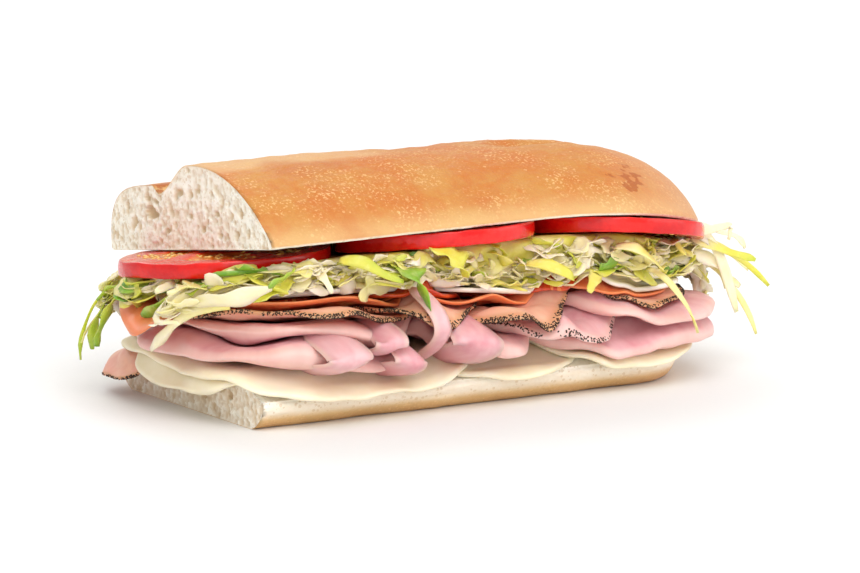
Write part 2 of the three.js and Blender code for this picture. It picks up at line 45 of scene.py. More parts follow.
# The shapes below are worked out in millimetres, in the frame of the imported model, and are
# turned into metres where a mesh is made.
roll = {"cutX": -74.0, "evenX": 40, "step": 1.9}
baseRoll = {"heelX": 65.5, "halfWidth": 38, "heelRound": 26, "heelPower": 3.2, "sections": 40, "thick": 11.3,
            "lip": 7.6, "lipRun": 11, "footInset": 7, "footLift": 5, "wall": 1.2, "crumbRise": 0.6}
topRoll = {"heelX": 77, "heelRun": 46, "heelPower": 2.2, "sections": 44, "halfWidth": 41.8, "backWide": 2.4,
           "dome": 19.4, "cutRise": 2.2, "cutRiseX": -50, "flatDrop": 5.2, "wall": 1.2, "edgeZ": 50.5,
           "edgeY": -42.6, "tilt": 9.35, "sag": 6.8, "sagX": 10, "sagRun": 60}
slash = {"startX": -76, "endX": 12, "valleyY": 16.6, "slant": 0.25, "depth": 2.6, "frontRun": 15,
         "lipRun": 4}
heelSlash = {"startX": 26, "endX": 66, "valleyY": -3, "slant": 0.22, "depth": 1.8, "frontRun": 9,
             "lipRun": 4}
slashEnds = {"in": 14, "out": 26}
paleStrip = {"frontY": -16, "slant": 0.05, "run": 5, "endX": -28, "endRun": 16, "gap": 6, "gapRun": 10}
filling = {"clearance": 0.35, "leftX": -75, "rightX": 65, "halfWidth": 37.5, "cutRound": 9, "heelRound": 18,
           "bendRadius": 6, "rimRadius": 4.5, "bendAngle": math.radians(62), "squeeze": 0.5,
           "coverReach": 1.5, "coverRun": 8, "walkTurn": 30,
           "frontLeft": 37.5, "frontRight": 28, "backLeft": 24, "backRight": 22.5}


def clamp(t, low=0.0, high=1.0):
    return np.minimum(high, np.maximum(low, t))


def ease(t):
    t = clamp(t)
    return t * t * (3 - 2 * t)


def blend(a, b, t):
    return a + (b - a) * t


# Soft random relief: a sum of plane waves with random directions, about -1 to 1.
def waves(points, length, seed, count=14):
    dice = np.random.default_rng(seed)
    total = np.zeros(len(points))
    for _ in range(count):
        way = dice.normal(size=3)
        way *= tau / (length * dice.uniform(0.6, 1.6) * np.linalg.norm(way))
        total += np.sin(points @ way + dice.uniform(0, tau))
    return total / math.sqrt(count) * 0.8


def show(name, data):
    thing = bpy.data.objects.new(name, data)
    bpy.context.scene.collection.objects.link(thing)
    return thing


def smooth(mesh):
    mesh.polygons.foreach_set("use_smooth", np.ones(len(mesh.polygons), dtype=bool))


# Meshes
def makePiece(name, points, faces, material, node=None, attributes=None, flat=None):
    mesh = bpy.data.meshes.new(name)
    mesh.from_pydata((np.asarray(points) * mm).tolist(), [], [list(map(int, f)) for f in faces])
    mesh.materials.append(material)
    for key, values in attributes.items():
        layer = mesh.attributes.new(key, "FLOAT", "POINT")
        layer.data.foreach_set("value", np.asarray(values, dtype=np.float32))
    if flat is not None:
        layer = mesh.uv_layers.new(name="flat")
        corner = np.empty(len(mesh.loops), dtype=np.int32)
        mesh.loops.foreach_get("vertex_index", corner)
        layer.data.foreach_set("uv", (np.asarray(flat, dtype=np.float32)[corner] * mm).ravel())
    smooth(mesh)
    mesh.validate()
    piece = show(name, mesh)
    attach(piece, "root")
    if node:
        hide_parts(node)
    return piece


# Quads between closed rings of equal length; ring k is points k*count to (k+1)*count.
def ringFaces(ringCount, count):
    faces = []
    for k in range(ringCount - 1):
        a = k * count + np.arange(count)
        b = k * count + (np.arange(count) + 1) % count
        faces.append(np.stack([a, b, b + count, a + count], axis=1))
    return np.concatenate(faces)


def fanFaces(middle, ring, flip):
    nextOne = np.roll(ring, -1)
    fan = [nextOne, ring] if flip else [ring, nextOne]
    return np.stack([np.full(len(ring), middle), *fan], axis=1).tolist()


# A closed round form: rings of points, then the middle of its top and that of its underside.
def roundFaces(rings, spokes):
    count = rings * spokes
    faces = ringFaces(rings, spokes)[:, ::-1].tolist() + fanFaces(count, np.arange(spokes), False)
    return faces + fanFaces(count + 1, count - spokes + np.arange(spokes), True)


ribbonForm = {"points": 5, "sway": 0.15, "swayRate": 11, "edgeRate": 17, "narrow": 0.45, "narrowRate": 9,
              "thin": 0.7}


def unit(rows):
    return rows / (np.linalg.norm(rows, axis=1)[:, None] + 1e-9)


# A thin closed ribbon along a path, rolled, cupped and frilled at its edges: its points, and
# how many of them lie round it at each step.
def ribbon(path, form):
    form = {**ribbonForm, **form}
    t = np.linspace(0, 1, len(path))
    along = unit(np.gradient(path, axis=0))
    level = np.cross(along, [0, 0, 1.0])
    if "side" in form:
        level = form["side"] - along * (along @ form["side"])[:, None]
    level = unit(level)
    lean = form["roll"] + form["twist"] * t
    side = level * np.cos(lean)[:, None] + np.cross(along, level) * np.sin(lean)[:, None]
    up = np.cross(side, along)
    width = form["wide"] / 2 * (1 - form["taper"] * t ** 2)
    width = width * (1 + form["sway"] * np.sin(form["frill"] * form["swayRate"] * t + form["roll"] * 5))
    width *= 1 - form["narrow"] + form["narrow"] * ease(np.minimum(t, 1 - t) * form["narrowRate"])
    across = np.linspace(-1, 1, form["points"])[None]
    frill = np.sin(form["frill"] * form["edgeRate"] * t + form["roll"])[:, None]
    cup = form["cup"] * across ** 2 + form["edge"] * across ** 3 * frill
    top = path[:, None] + side[:, None] * (across * width[:, None])[..., None]
    top = top + up[:, None] * (cup * width[:, None])[..., None]
    under = top - up[:, None] * (form["thick"] * (1 - form["thin"] * np.abs(across)))[..., None]
    ring = np.concatenate([top, under[:, ::-1]], axis=1)
    return ring.reshape(-1, 3), ring.shape[1]


def ribbonFaces(steps, count, start):
    last = start + (steps - 1) * count
    faces = (ringFaces(steps, count) + start).tolist()
    return faces + [list(range(start, start + count))[::-1], list(range(last, last + count))]


def bend3(a, b, c, steps):
    t = np.linspace(0, 1, steps)[:, None]
    return np.array(a) * (1 - t) ** 2 + 2 * np.array(b) * t * (1 - t) + np.array(c) * t ** 2


# Node trees
def newMaterial(name):
    material = bpy.data.materials.new(name)
    material.use_nodes = True
    tree = material.node_tree
    tree.nodes.clear()
    out = tree.nodes.new("ShaderNodeOutputMaterial")
    shader = tree.nodes.new("ShaderNodeBsdfPrincipled")
    tree.links.new(shader.outputs["BSDF"], out.inputs["Surface"])
    return material, tree, shader


def add(tree, kind, settings=None, **inputs):
    made = tree.nodes.new(kind)
    for key, value in (settings or {}).items():
        setattr(made, key, value)
    for key, value in inputs.items():
        put(tree, made.inputs[key.replace("_", " ")], value)
    return made


def put(tree, socket, value):
    if hasattr(value, "is_output"):
        tree.links.new(value, socket)
    elif isinstance(value, tuple) and len(value) == 3 and socket.type == "RGBA":
        socket.default_value = (*value, 1)
    else:
        socket.default_value = value


def srgb(r, g, b):
    return tuple(((c / 255 + 0.055) / 1.055) ** 2.4 if c > 10 else c / 255 / 12.92 for c in (r, g, b))


socketKinds = {"float": "NodeSocketFloat", "vector": "NodeSocketVector", "colour": "NodeSocketColor",
               "geometry": "NodeSocketGeometry", "string": "NodeSocketString", "int": "NodeSocketInt",
               "material": "NodeSocketMaterial"}


def addSockets(tree, inputs, outputs):
    for label, kind, value in inputs:
        socket = tree.interface.new_socket(label, in_out="INPUT", socket_type=socketKinds[kind])
        if value is not None:
            socket.default_value = value
    for label, kind in outputs:
        tree.interface.new_socket(label, in_out="OUTPUT", socket_type=socketKinds[kind])
    return tree.nodes.new("NodeGroupInput").outputs, tree.nodes.new("NodeGroupOutput").inputs


def newGroup(name, inputs, outputs):
    group = bpy.data.node_groups.new(name, "ShaderNodeTree")
    return group, *addSockets(group, [("Place", "vector", None), *inputs], outputs)


def noise(tree, place, scale, detail=4.0):
    return add(tree, "ShaderNodeTexNoise", Vector=place, Scale=scale, Detail=detail).outputs["Fac"]


def useGroup(tree, group, **inputs):
    made = tree.nodes.new("ShaderNodeGroup")
    made.node_tree = group
    for key, value in inputs.items():
        put(tree, made.inputs[key], value)
    return made


def mixColour(tree, factor, a, b):
    made = add(tree, "ShaderNodeMix", {"data_type": "RGBA"})
    for slot, value in ((0, factor), (6, a), (7, b)):
        put(tree, made.inputs[slot], value)
    return made.outputs[2]


def ramp(tree, value, low, high, outLow=0.0, outHigh=1.0):
    made = add(tree, "ShaderNodeMapRange", {"interpolation_type": "SMOOTHSTEP"})
    for key, number in zip(("Value", "From Min", "From Max", "To Min", "To Max"),
                           (value, low, high, outLow, outHigh)):
        put(tree, made.inputs[key], number)
    return made.outputs["Result"]


def calc(tree, way, a, b=0.0):
    made = add(tree, "ShaderNodeMath", {"operation": way})
    put(tree, made.inputs[0], a)
    put(tree, made.inputs[1], b)
    return made.outputs[0]


def attribute(tree, name):
    return add(tree, "ShaderNodeAttribute", {"attribute_name": name}).outputs["Fac"]


# Mottle: a colour that drifts between two tones, in patches and in fine grain.
def makeMottle():
    group, given, out = newGroup("mottle", [
        ("Pale", "colour", (1, 1, 1, 1)), ("Deep", "colour", (0, 0, 0, 1)), ("Patch", "float", 60.0),
        ("Grain", "float", 600.0), ("Grain share", "float", 0.3),
    ], [("Colour", "colour"), ("Mask", "float")])
    share = add(group, "ShaderNodeMix", {"data_type": "FLOAT"})
    for slot, value in ((0, given["Grain share"]), (2, noise(group, given["Place"], given["Patch"], 3.0)),
                        (3, noise(group, given["Place"], given["Grain"], 2.0))):
        put(group, share.inputs[slot], value)
    mask = ramp(group, share.outputs[0], 0.36, 0.64)
    put(group, out["Colour"], mixColour(group, mask, given["Pale"], given["Deep"]))
    put(group, out["Mask"], mask)
    return group


# Specks: small round spots scattered on a share of the cells of a fine lattice.
def makeSpecks():
    group, given, out = newGroup("specks", [
        ("Scale", "float", 300.0), ("Share", "float", 0.2), ("Size", "float", 0.3),
    ], [("Mask", "float")])
    cells = add(group, "ShaderNodeTexVoronoi", Vector=given["Place"], Scale=given["Scale"])
    parts = add(group, "ShaderNodeSeparateColor", Color=cells.outputs["Color"])
    chosen = calc(group, "LESS_THAN", parts.outputs["Red"], given["Share"])
    size = calc(group, "MULTIPLY", parts.outputs["Green"], given["Size"])
    spot = calc(group, "LESS_THAN", cells.outputs["Distance"], size)
    put(group, out["Mask"], calc(group, "MULTIPLY", chosen, spot))
    return group


# Relief: coarse and fine bumps as one normal.
def makeRelief():
    group, given, out = newGroup("relief", [
        ("Coarse", "float", 120.0), ("Fine", "float", 900.0), ("Fine share", "float", 0.4),
        ("Height", "float", 0.2),
    ], [("Normal", "vector")])
    fine = calc(group, "MULTIPLY", noise(group, given["Place"], given["Fine"], 3.0), given["Fine share"])
    total = calc(group, "ADD", noise(group, given["Place"], given["Coarse"], 3.0), fine)
    bump = add(group, "ShaderNodeBump", Distance=0.001, Height=total, Strength=given["Height"])
    put(group, out["Normal"], bump.outputs["Normal"])
    return group


mottle = makeMottle()
specks = makeSpecks()
relief = makeRelief()


# Scatter: small rounded grains of random size and turn where a point attribute of the mesh is high.
def makeScatter():
    tree = bpy.data.node_groups.new("scatter", "GeometryNodeTree")
    given, out = addSockets(tree, [
        ("Geometry", "geometry", None), ("Mask", "string", "pepper"), ("Density", "float", 1e6),
        ("Smallest", "vector", (1e-4, 1e-4, 1e-4)), ("Largest", "vector", (3e-4, 3e-4, 3e-4)),
        ("Seed", "int", 1), ("Material", "material", None),
    ], [("Geometry", "geometry")])
    vectors = {"data_type": "FLOAT_VECTOR"}
    mask = add(tree, "GeometryNodeInputNamedAttribute", {"data_type": "FLOAT"}, Name=given["Mask"])
    density = calc(tree, "MULTIPLY", mask.outputs["Attribute"], given["Density"])
    spread = add(tree, "GeometryNodeDistributePointsOnFaces", {"distribute_method": "RANDOM"},
                 Mesh=given["Geometry"], Density=density, Seed=given["Seed"])
    grain = add(tree, "GeometryNodeMeshIcoSphere", Radius=1.0, Subdivisions=1)
    size = add(tree, "FunctionNodeRandomValue", vectors, Min=given["Smallest"], Max=given["Largest"],
               Seed=given["Seed"])
    turn = add(tree, "FunctionNodeRandomValue", vectors, Min=(0, 0, 0), Max=(0.3, 0.3, tau))
    spin = add(tree, "FunctionNodeEulerToRotation", Euler=turn.outputs["Value"])
    turned = add(tree, "FunctionNodeRotateRotation", {"rotation_space": "LOCAL"},
                 Rotation=spread.outputs["Rotation"], Rotate_By=spin.outputs["Rotation"])
    placed = add(tree, "GeometryNodeInstanceOnPoints", Points=spread.outputs["Points"],
                 Instance=grain.outputs["Mesh"], Rotation=turned.outputs["Rotation"],
                 Scale=size.outputs["Value"])
    real = add(tree, "GeometryNodeRealizeInstances", Geometry=placed.outputs["Instances"])
    painted = add(tree, "GeometryNodeSetMaterial", Geometry=real.outputs["Geometry"],
                  Material=given["Material"])
    put(tree, out["Geometry"], painted.outputs["Geometry"])
    return tree


scatterTree = makeScatter()


def scatterOn(host, name, slot, **inputs):
    holder = show("holder", host.data)
    modifier = holder.modifiers.new("scatter", "NODES")
    modifier.node_group = scatterTree
    for item in scatterTree.interface.items_tree:
        if item.in_out == "INPUT" and item.name in inputs:
            modifier[item.identifier] = inputs[item.name]
    graph = bpy.context.evaluated_depsgraph_get()
    mesh = bpy.data.meshes.new_from_object(holder.evaluated_get(graph), depsgraph=graph)
    holder.modifiers.remove(modifier)
    bpy.data.objects.remove(holder)
    mesh.name = name
    smooth(mesh)
    piece = show(name, mesh)
    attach(piece, "root")


def flatPlace(tree):
    return add(tree, "ShaderNodeUVMap", {"uv_map": "flat"}).outputs["UV"]


def ownPlace(tree):
    return add(tree, "ShaderNodeTexCoord").outputs["Object"]


def setShader(shader, roughness, soft=0.0, softScale=0.002, coat=0.0, specular=0.5,
              softRadius=(1.0, 0.45, 0.3)):
    for key, value in (("Roughness", roughness), ("Subsurface Weight", soft),
                       ("Subsurface Scale", softScale),
                       ("Subsurface Radius", softRadius), ("Coat Weight", coat), ("Coat Roughness", 0.25),
                       ("Specular IOR Level", specular)):
        shader.inputs[key].default_value = value


# Puts a colour, the relief and the gloss of a look on a material.
def finishLook(tree, shader, place, colour, look):
    put(tree, shader.inputs["Base Color"], colour)
    if "relief" in look:
        bumps = useGroup(tree, relief, Place=place, **look["relief"])
        put(tree, shader.inputs["Normal"], bumps.outputs["Normal"])
    setShader(shader, **look["gloss"])


# A material of two tones, with spots or a rim of another colour where its look has them.
def makeToned(name, look):
    material, tree, shader = newMaterial(name)
    place = flatPlace(tree) if look.get("flat") else ownPlace(tree)
    colour = useGroup(tree, mottle, Place=place, **look["tone"]).outputs["Colour"]
    if "spots" in look:
        spots = useGroup(tree, specks, Place=place, **look["spots"])
        colour = mixColour(tree, spots.outputs["Mask"], colour, look["other"])
    if "rim" in look:
        colour = mixColour(tree, ramp(tree, attribute(tree, "rim"), *look["rim"]), colour, look["other"])
    finishLook(tree, shader, place, colour, look)
    return material


# Bread
breadLook = {
    "crust": {"Pale": srgb(198, 137, 66), "Deep": srgb(196, 114, 46), "Patch": 55.0, "Grain": 420.0},
    "paleCrust": srgb(222, 186, 130), "flour": srgb(240, 200, 142), "toast": srgb(184, 98, 38),
    # The pore colour is painted shade for the insides of the pores.
    "scorch": srgb(170, 88, 34), "blush": srgb(218, 163, 122), "pore": srgb(214, 190, 156),
    "crumb": {"Pale": srgb(255, 250, 238), "Deep": srgb(249, 240, 224), "Patch": 160.0, "Grain": 900.0},
    "dust": {"Scale": 560.0, "Share": 0.14, "Size": 0.32},
    "tiny": {"Scale": 1000.0, "Share": 0.5, "Size": 0.55},
    "relief": {"Coarse": 300.0, "Fine": 1500.0, "Height": 0.5},
    "gloss": {"roughness": 0.6, "soft": 0.12, "specular": 0.3, "softRadius": (1.0, 0.8, 0.6)},
}


def makeBreadMaterial():
    look = breadLook
    material, tree, shader = newMaterial("bakedRoll")
    place = ownPlace(tree)
    crumbShare = attribute(tree, "crumb")
    baked = useGroup(tree, mottle, Place=place, **look["crust"])
    along = add(tree, "ShaderNodeSeparateXYZ", Vector=place).outputs["X"]
    patchy = ramp(tree, noise(tree, place, 85.0), 0.42, 0.64, 0.05, 0.6)
    fleck = calc(tree, "MULTIPLY", ramp(tree, noise(tree, place, 1300.0), 0.53, 0.66), patchy)
    dust = useGroup(tree, specks, Place=place, **look["dust"])
    ragged = ramp(tree, noise(tree, place, 330.0), 0.25, 0.75, -0.5, 0.5)
    scorch = calc(tree, "ADD", attribute(tree, "scorch"), ragged)
    crust = mixColour(tree, attribute(tree, "bake"), look["paleCrust"], baked.outputs["Colour"])
    for share, colour in (
            (ramp(tree, noise(tree, place, 38.0), 0.56, 0.74, 0.0, 0.55), "toast"),
            (ramp(tree, along, 0.03, 0.075, 0.0, 0.7), "blush"), (fleck, "flour"),
            (calc(tree, "MULTIPLY", dust.outputs["Mask"], 0.4), "flour"),
            (ramp(tree, scorch, 0.55, 0.8, 0.0, 0.8), "scorch")):
        crust = mixColour(tree, share, crust, look[colour])
    crumb = useGroup(tree, mottle, Place=place, **look["crumb"])
    tiny = useGroup(tree, specks, Place=place, **look["tiny"])
    # Painted shade: the crumb darkens towards the pore colour the deeper a pore is, and at tiny specks that
    # stand in for the smallest pores.
    deep = calc(tree, "MAXIMUM", attribute(tree, "pore"), calc(tree, "MULTIPLY", tiny.outputs["Mask"], 0.5))
    crumbColour = mixColour(tree, deep, crumb.outputs["Colour"], look["pore"])
    finishLook(tree, shader, place, mixColour(tree, crumbShare, crust, crumbColour), look)
    put(tree, shader.inputs["Roughness"], calc(tree, "ADD", calc(tree, "MULTIPLY", crumbShare, 0.35), 0.5))
    return material


def heelShape(x, heelX, run, power):
    return clamp(1 - clamp((x - (heelX - run)) / run) ** power) ** (1 / power)


tiltAngle = math.radians(topRoll["tilt"])
chordY = topRoll["edgeY"] + topRoll["halfWidth"] * math.cos(tiltAngle)
chordZ = topRoll["edgeZ"] - topRoll["halfWidth"] * math.sin(tiltAngle)


def topSag(x):
    return topRoll["sag"] * np.maximum(0, (x - topRoll["sagX"]) / topRoll["sagRun"]) ** 2


def topUnder(x, y):
    return chordZ - (y - chordY) * math.tan(tiltAngle) - topSag(x)


# A score fades in before its start and out before its end.
def slashFade(x, cut):
    fadeIn = ease((x - cut["startX"] + slashEnds["in"]) / slashEnds["in"])
    return fadeIn * (1 - ease((x - cut["endX"] + slashEnds["out"]) / slashEnds["out"]))


def slashValley(x, cut):
    return cut["valleyY"] + cut["slant"] * (x - cut["startX"])


def slashShape(x, y, cut):
    valley = slashValley(x, cut)
    side = np.where(y < valley, 1 - ease((valley - y) / cut["frontRun"]),
                    1 - ease((y - valley) / cut["lipRun"]))
    return slashFade(x, cut) * side


# The dome over the roll: round, but behind the score it is flat-topped with a steep back.
def domeHeight(across, x):
    dome = topRoll["dome"] + topRoll["cutRise"] * (1 - ease((x - topRoll["cutRiseX"]) / 60))
    front = dome * clamp(1 - np.abs(across) ** 2.2) ** 0.9
    back = dome * clamp(1 - np.abs(across) ** 3) ** 0.55
    flatTop = (dome - topRoll["flatDrop"] * ease(across / 0.4)) * clamp(1 - np.abs(across) ** 8) ** 0.5
    return np.where(across < 0, front, blend(back, flatTop, slashFade(x, slash)))


# Places across a section from edge to edge, closer near its edges.
def acrossSection():
    return -np.cos(np.pi * (np.arange(breadMesh["across"]) + 0.5) / breadMesh["across"])


# One section of the top bread: the ring of points, how strongly each is baked, and whether it
# is crumb (the sawn underside). The underside's points lie below the upper ones.
def topSection(x):
    wide = topRoll["halfWidth"] * heelShape(x, topRoll["heelX"], topRoll["heelRun"], topRoll["heelPower"])
    tall = heelShape(x, topRoll["heelX"], topRoll["heelRun"] + 1.2, 2.5)
    across = acrossSection()
    over = np.arange(2 * len(across)) < len(across)
    across = np.concatenate([across, 0.985 * across[::-1]])
    up = np.where(over, topRoll["wall"] + domeHeight(across, x) * tall, 0)
    up *= np.where(over, ease((1 - np.abs(across)) * 90) * 0.4 + 0.6, 1)
    along = across * (wide + topRoll["backWide"] * ease(across) * slashFade(x, slash))
    y = chordY + along * math.cos(tiltAngle) + up * math.sin(tiltAngle)
    z = chordZ - along * math.sin(tiltAngle) + up * math.cos(tiltAngle) - topSag(x)
    cut = slashShape(x, y, slash)
    heelCut = slashShape(x, y, heelSlash)
    z = z - np.where(over, (cut * slash["depth"] + heelCut * heelSlash["depth"]) * tall, 0)
    rim = np.exp(-((up - topRoll["wall"]) / 4) ** 2)
    front = paleStrip["frontY"] + paleStrip["slant"] * (x - roll["cutX"])
    strip = ease((y - front) / paleStrip["run"]) * (1 - ease((x - paleStrip["endX"]) / paleStrip["endRun"]))
    strip *= 1 - ease((y - slashValley(x, slash) + paleStrip["gap"]) / paleStrip["gapRun"])
    bake = np.where(over, clamp(1 - 0.8 * ease(cut * 2.4 - 0.1) - 0.6 * rim - 0.5 * strip), 0)
    return np.stack([np.full(len(across), float(x)), y, z], axis=1), bake, np.where(over, 0.0, 1.0)


def baseTop(x, y):
    run = baseRoll["lipRun"]
    return blend(baseRoll["thick"], baseRoll["lip"], ease((np.abs(y) - baseRoll["halfWidth"] + run) / run))


def baseSection(x):
    shape = heelShape(x, baseRoll["heelX"], baseRoll["heelRound"], baseRoll["heelPower"])
    wide = baseRoll["halfWidth"] * shape
    lift = baseRoll["footLift"] * (1 - shape)
    foot = wide - baseRoll["footInset"] * min(1.0, 1.1 * float(shape))
    across = acrossSection()
    count = len(across)
    y = across * (wide + 0.001)
    rim = ease((np.abs(across) - 0.985) / 0.015)
    overZ = np.maximum(lift + 2, baseTop(x, y)) + baseRoll["crumbRise"] * (1 - rim)
    out = clamp((np.abs(y) - foot) / max(0.01, wide - foot))
    side = float(baseTop(x, wide)) - baseRoll["wall"] - lift * 0.4
    underZ = lift * 0.4 + side * (1 - (1 - out ** 1.7) ** 0.75)
    points = [np.full(2 * count, float(x)), np.append(y, y[::-1]), np.append(overZ, underZ[::-1])]
    height = (underZ[::-1] - lift * 0.4) / 8
    bake = np.append(np.zeros(count), 0.35 - 0.35 * ease((height - 0.12) * 2.6))
    crumb = np.append(np.ones(count), 0.75 * ease((height - 0.3) * 2.6))
    return np.stack(points, axis=1), bake, crumb


# Pores: ovals of many sizes on a cut face; gives how deep each point lies in one.
breadMesh = {"across": 210, "rows": 62}
poreLook = {"count": 3800, "largest": 1.2, "smallest": 0.26, "power": 5, "depth": 1.1}
scorches = [(44, -33, 4, 4, 1.0), (47, -26, 3.5, 4, 0.8), (39, -30, 3, 3, 0.5), (-71, 22, 8, 4.5, 0.9),
            (-62, 24, 6, 3, 0.5)]
topPores = [(21.7, 50.2, 2.9, 1.9), (23.8, 54.0, 1.5, 1.2), (19.2, 53.6, 1.6, 0.8), (34.3, 50.3, 1.0, 1.5),
            (7.2, 57.9, 1.9, 1.0), (-6.1, 50.1, 1.5, 1.0), (-26, 57.6, 1.1, 1.6), (-23.5, 51.1, 1.1, 1.5),
            (-13, 55.4, 1.2, 0.9), (-15, 50.0, 1.0, 1.2), (30, 46.5, 1.0, 1.7), (-30, 52.6, 1.0, 1.4),
            (13, 46.5, 1.3, 0.9), (1, 52.5, 1.1, 0.8), (-3, 60.0, 1.3, 0.8)]
basePores = [(22, 6.4, 1.5, 1.0), (-20, 7.2, 1.6, 1.1), (-6, 4.6, 1.2, 0.9), (9, 7.8, 1.4, 0.8),
             (31, 5.5, 1.1, 1.0)]


def poreDepth(y, z, chosen, seed):
    look = poreLook
    dice = np.random.default_rng(seed)
    depth = np.zeros(len(y))
    sizes = blend(look["smallest"], look["largest"], dice.random(look["count"]) ** look["power"])
    spots = [(cy, cz, ry, rz, 1.3) for cy, cz, ry, rz in chosen]
    spots += [(dice.uniform(y.min(), y.max()), dice.uniform(z.min(), z.max()),
               size * dice.uniform(0.55, 0.9),
               size * dice.uniform(0.8, 1.3), dice.uniform(0.4, 0.9)) for size in sizes]
    for cy, cz, ry, rz, deep in spots:
        near = (np.abs(y - cy) < ry) & (np.abs(z - cz) < rz)
        r2 = ((y[near] - cy) / ry) ** 2 + ((z[near] - cz) / rz) ** 2
        sunk = deep * min(ry, rz) * look["depth"] * np.sqrt(np.maximum(0, 1 - r2))
        depth[near] = np.maximum(depth[near], sunk)
    return depth


# The relief of the crust and of the sawn crumb, which fades out at the cut and at the heel.
def breadRelief(points, crumb, rings, count, seed):
    centre = points.reshape(rings, count, 3).mean(axis=1).repeat(count, axis=0)
    out = (points - centre) * [0, 1, 1]
    out /= np.linalg.norm(out, axis=1)[:, None] + 1e-6
    bumps = 0.25 * waves(points, 16, seed) + 0.1 * waves(points, 4.5, seed + 1)
    rough = 0.25 * waves(points, 2.4, seed + 2) * (crumb > 0.4)
    inside = ease((points[:, 0] - roll["cutX"]) / 2) * ease((points[-1, 0] - points[:, 0]) / 6)
    points = points + out * ((bumps * (crumb < 0.5) + rough) * inside)[:, None]
    points[:, 2] = np.maximum(points[:, 2], 0)
    return points


# The face at the cut: its inner points with their pores, how far each is in from the edge, how
# deep it lies, and the faces that join them to the first section.
def cutFace(points, half, start, chosen, seed):
    rows = breadMesh["rows"]
    low, high = np.arange(half, 2 * half)[::-1], np.arange(half)
    share = np.arange(1, rows)[:, None] / rows
    grid = blend(points[low][None, 1:-1], points[high][None, 1:-1], share[..., None]).reshape(-1, 3)
    sideways = (1 - np.abs(np.linspace(-1, 1, half)))[None, 1:-1] * 40
    edge = ease(np.minimum(np.minimum(share, 1 - share) * 26, sideways)).ravel()
    depth = poreDepth(grid[:, 1], grid[:, 2], chosen, seed) * edge
    flat = grid * [0, 1, 1]
    grain = 0.5 + 0.5 * waves(flat, 1.3, seed + 3)
    grid[:, 0] += depth + edge * (0.06 * grain + 0.12 * (1 + waves(flat, 11, seed + 4)))
    index = start + np.arange(len(grid)).reshape(rows - 1, half - 2)
    left, right = [np.where(share < 0.5, low[side], high[side]) for side in (0, -1)]
    index = np.concatenate([low[None], np.concatenate([left, index, right], axis=1), high[None]])
    corners = [index[:-1, :-1], index[1:, :-1], index[1:, 1:], index[:-1, 1:]]
    quads = np.stack(corners, axis=-1).reshape(-1, 4).tolist()
    faces = [list(dict.fromkeys(quad)) for quad in quads if len(set(quad)) > 2]
    return grid, edge, depth, faces


# A bread half: sections along X, a sawn and porous face at the cut end, a shut heel.
def makeBread(name, node, section, stations, chosen, seed, marks):
    half = breadMesh["across"]
    points, bake, crumb = [np.concatenate(part) for part in zip(*[section(x) for x in stations])]
    points = breadRelief(points, crumb, len(stations), 2 * half, seed)
    start = len(points)
    grid, edge, depth, cutFaces = cutFace(points, half, start, chosen, seed)
    heelRing = np.arange(start - 2 * half, start)
    points = np.concatenate([points, grid, points[heelRing].mean(axis=0)[None]])
    faces = ringFaces(len(stations), 2 * half)[:, ::-1].tolist() + cutFaces
    faces += fanFaces(len(points) - 1, heelRing, True)
    scorch = np.zeros(len(points))
    for x, y, rx, ry, deep in marks:
        scorch += deep * np.exp(-((points[:, 0] - x) / rx) ** 2 - ((points[:, 1] - y) / ry) ** 2)
    # Pore depth is also stored for the material, where it paints shade into the crumb.
    makePiece(name, points, faces, breadMaterial, node=node, attributes={
        "bake": np.concatenate([bake, np.zeros(len(grid)), [bake[heelRing].mean()]]),
        "crumb": np.concatenate([crumb, ease(edge * 2), [0]]),
        "pore": np.concatenate([np.zeros(start), clamp(depth / 0.7), [0]]), "scorch": scorch})


# Sections get closer towards the heel, where the roll rounds off.
def makeStations(form):
    left = (1 - np.arange(form["sections"]) / form["sections"]) ** 3
    even = np.arange(roll["cutX"], roll["evenX"], roll["step"])
    return np.concatenate([even, blend(form["heelX"], roll["evenX"], left)])


breadMaterial = makeBreadMaterial()
makeBread("topBread", "bread_top", topSection, makeStations(topRoll), topPores, 31, scorches)
makeBread("bottomBread", "bread_base", baseSection, makeStations(baseRoll), basePores, 47, [])
print("bread made")

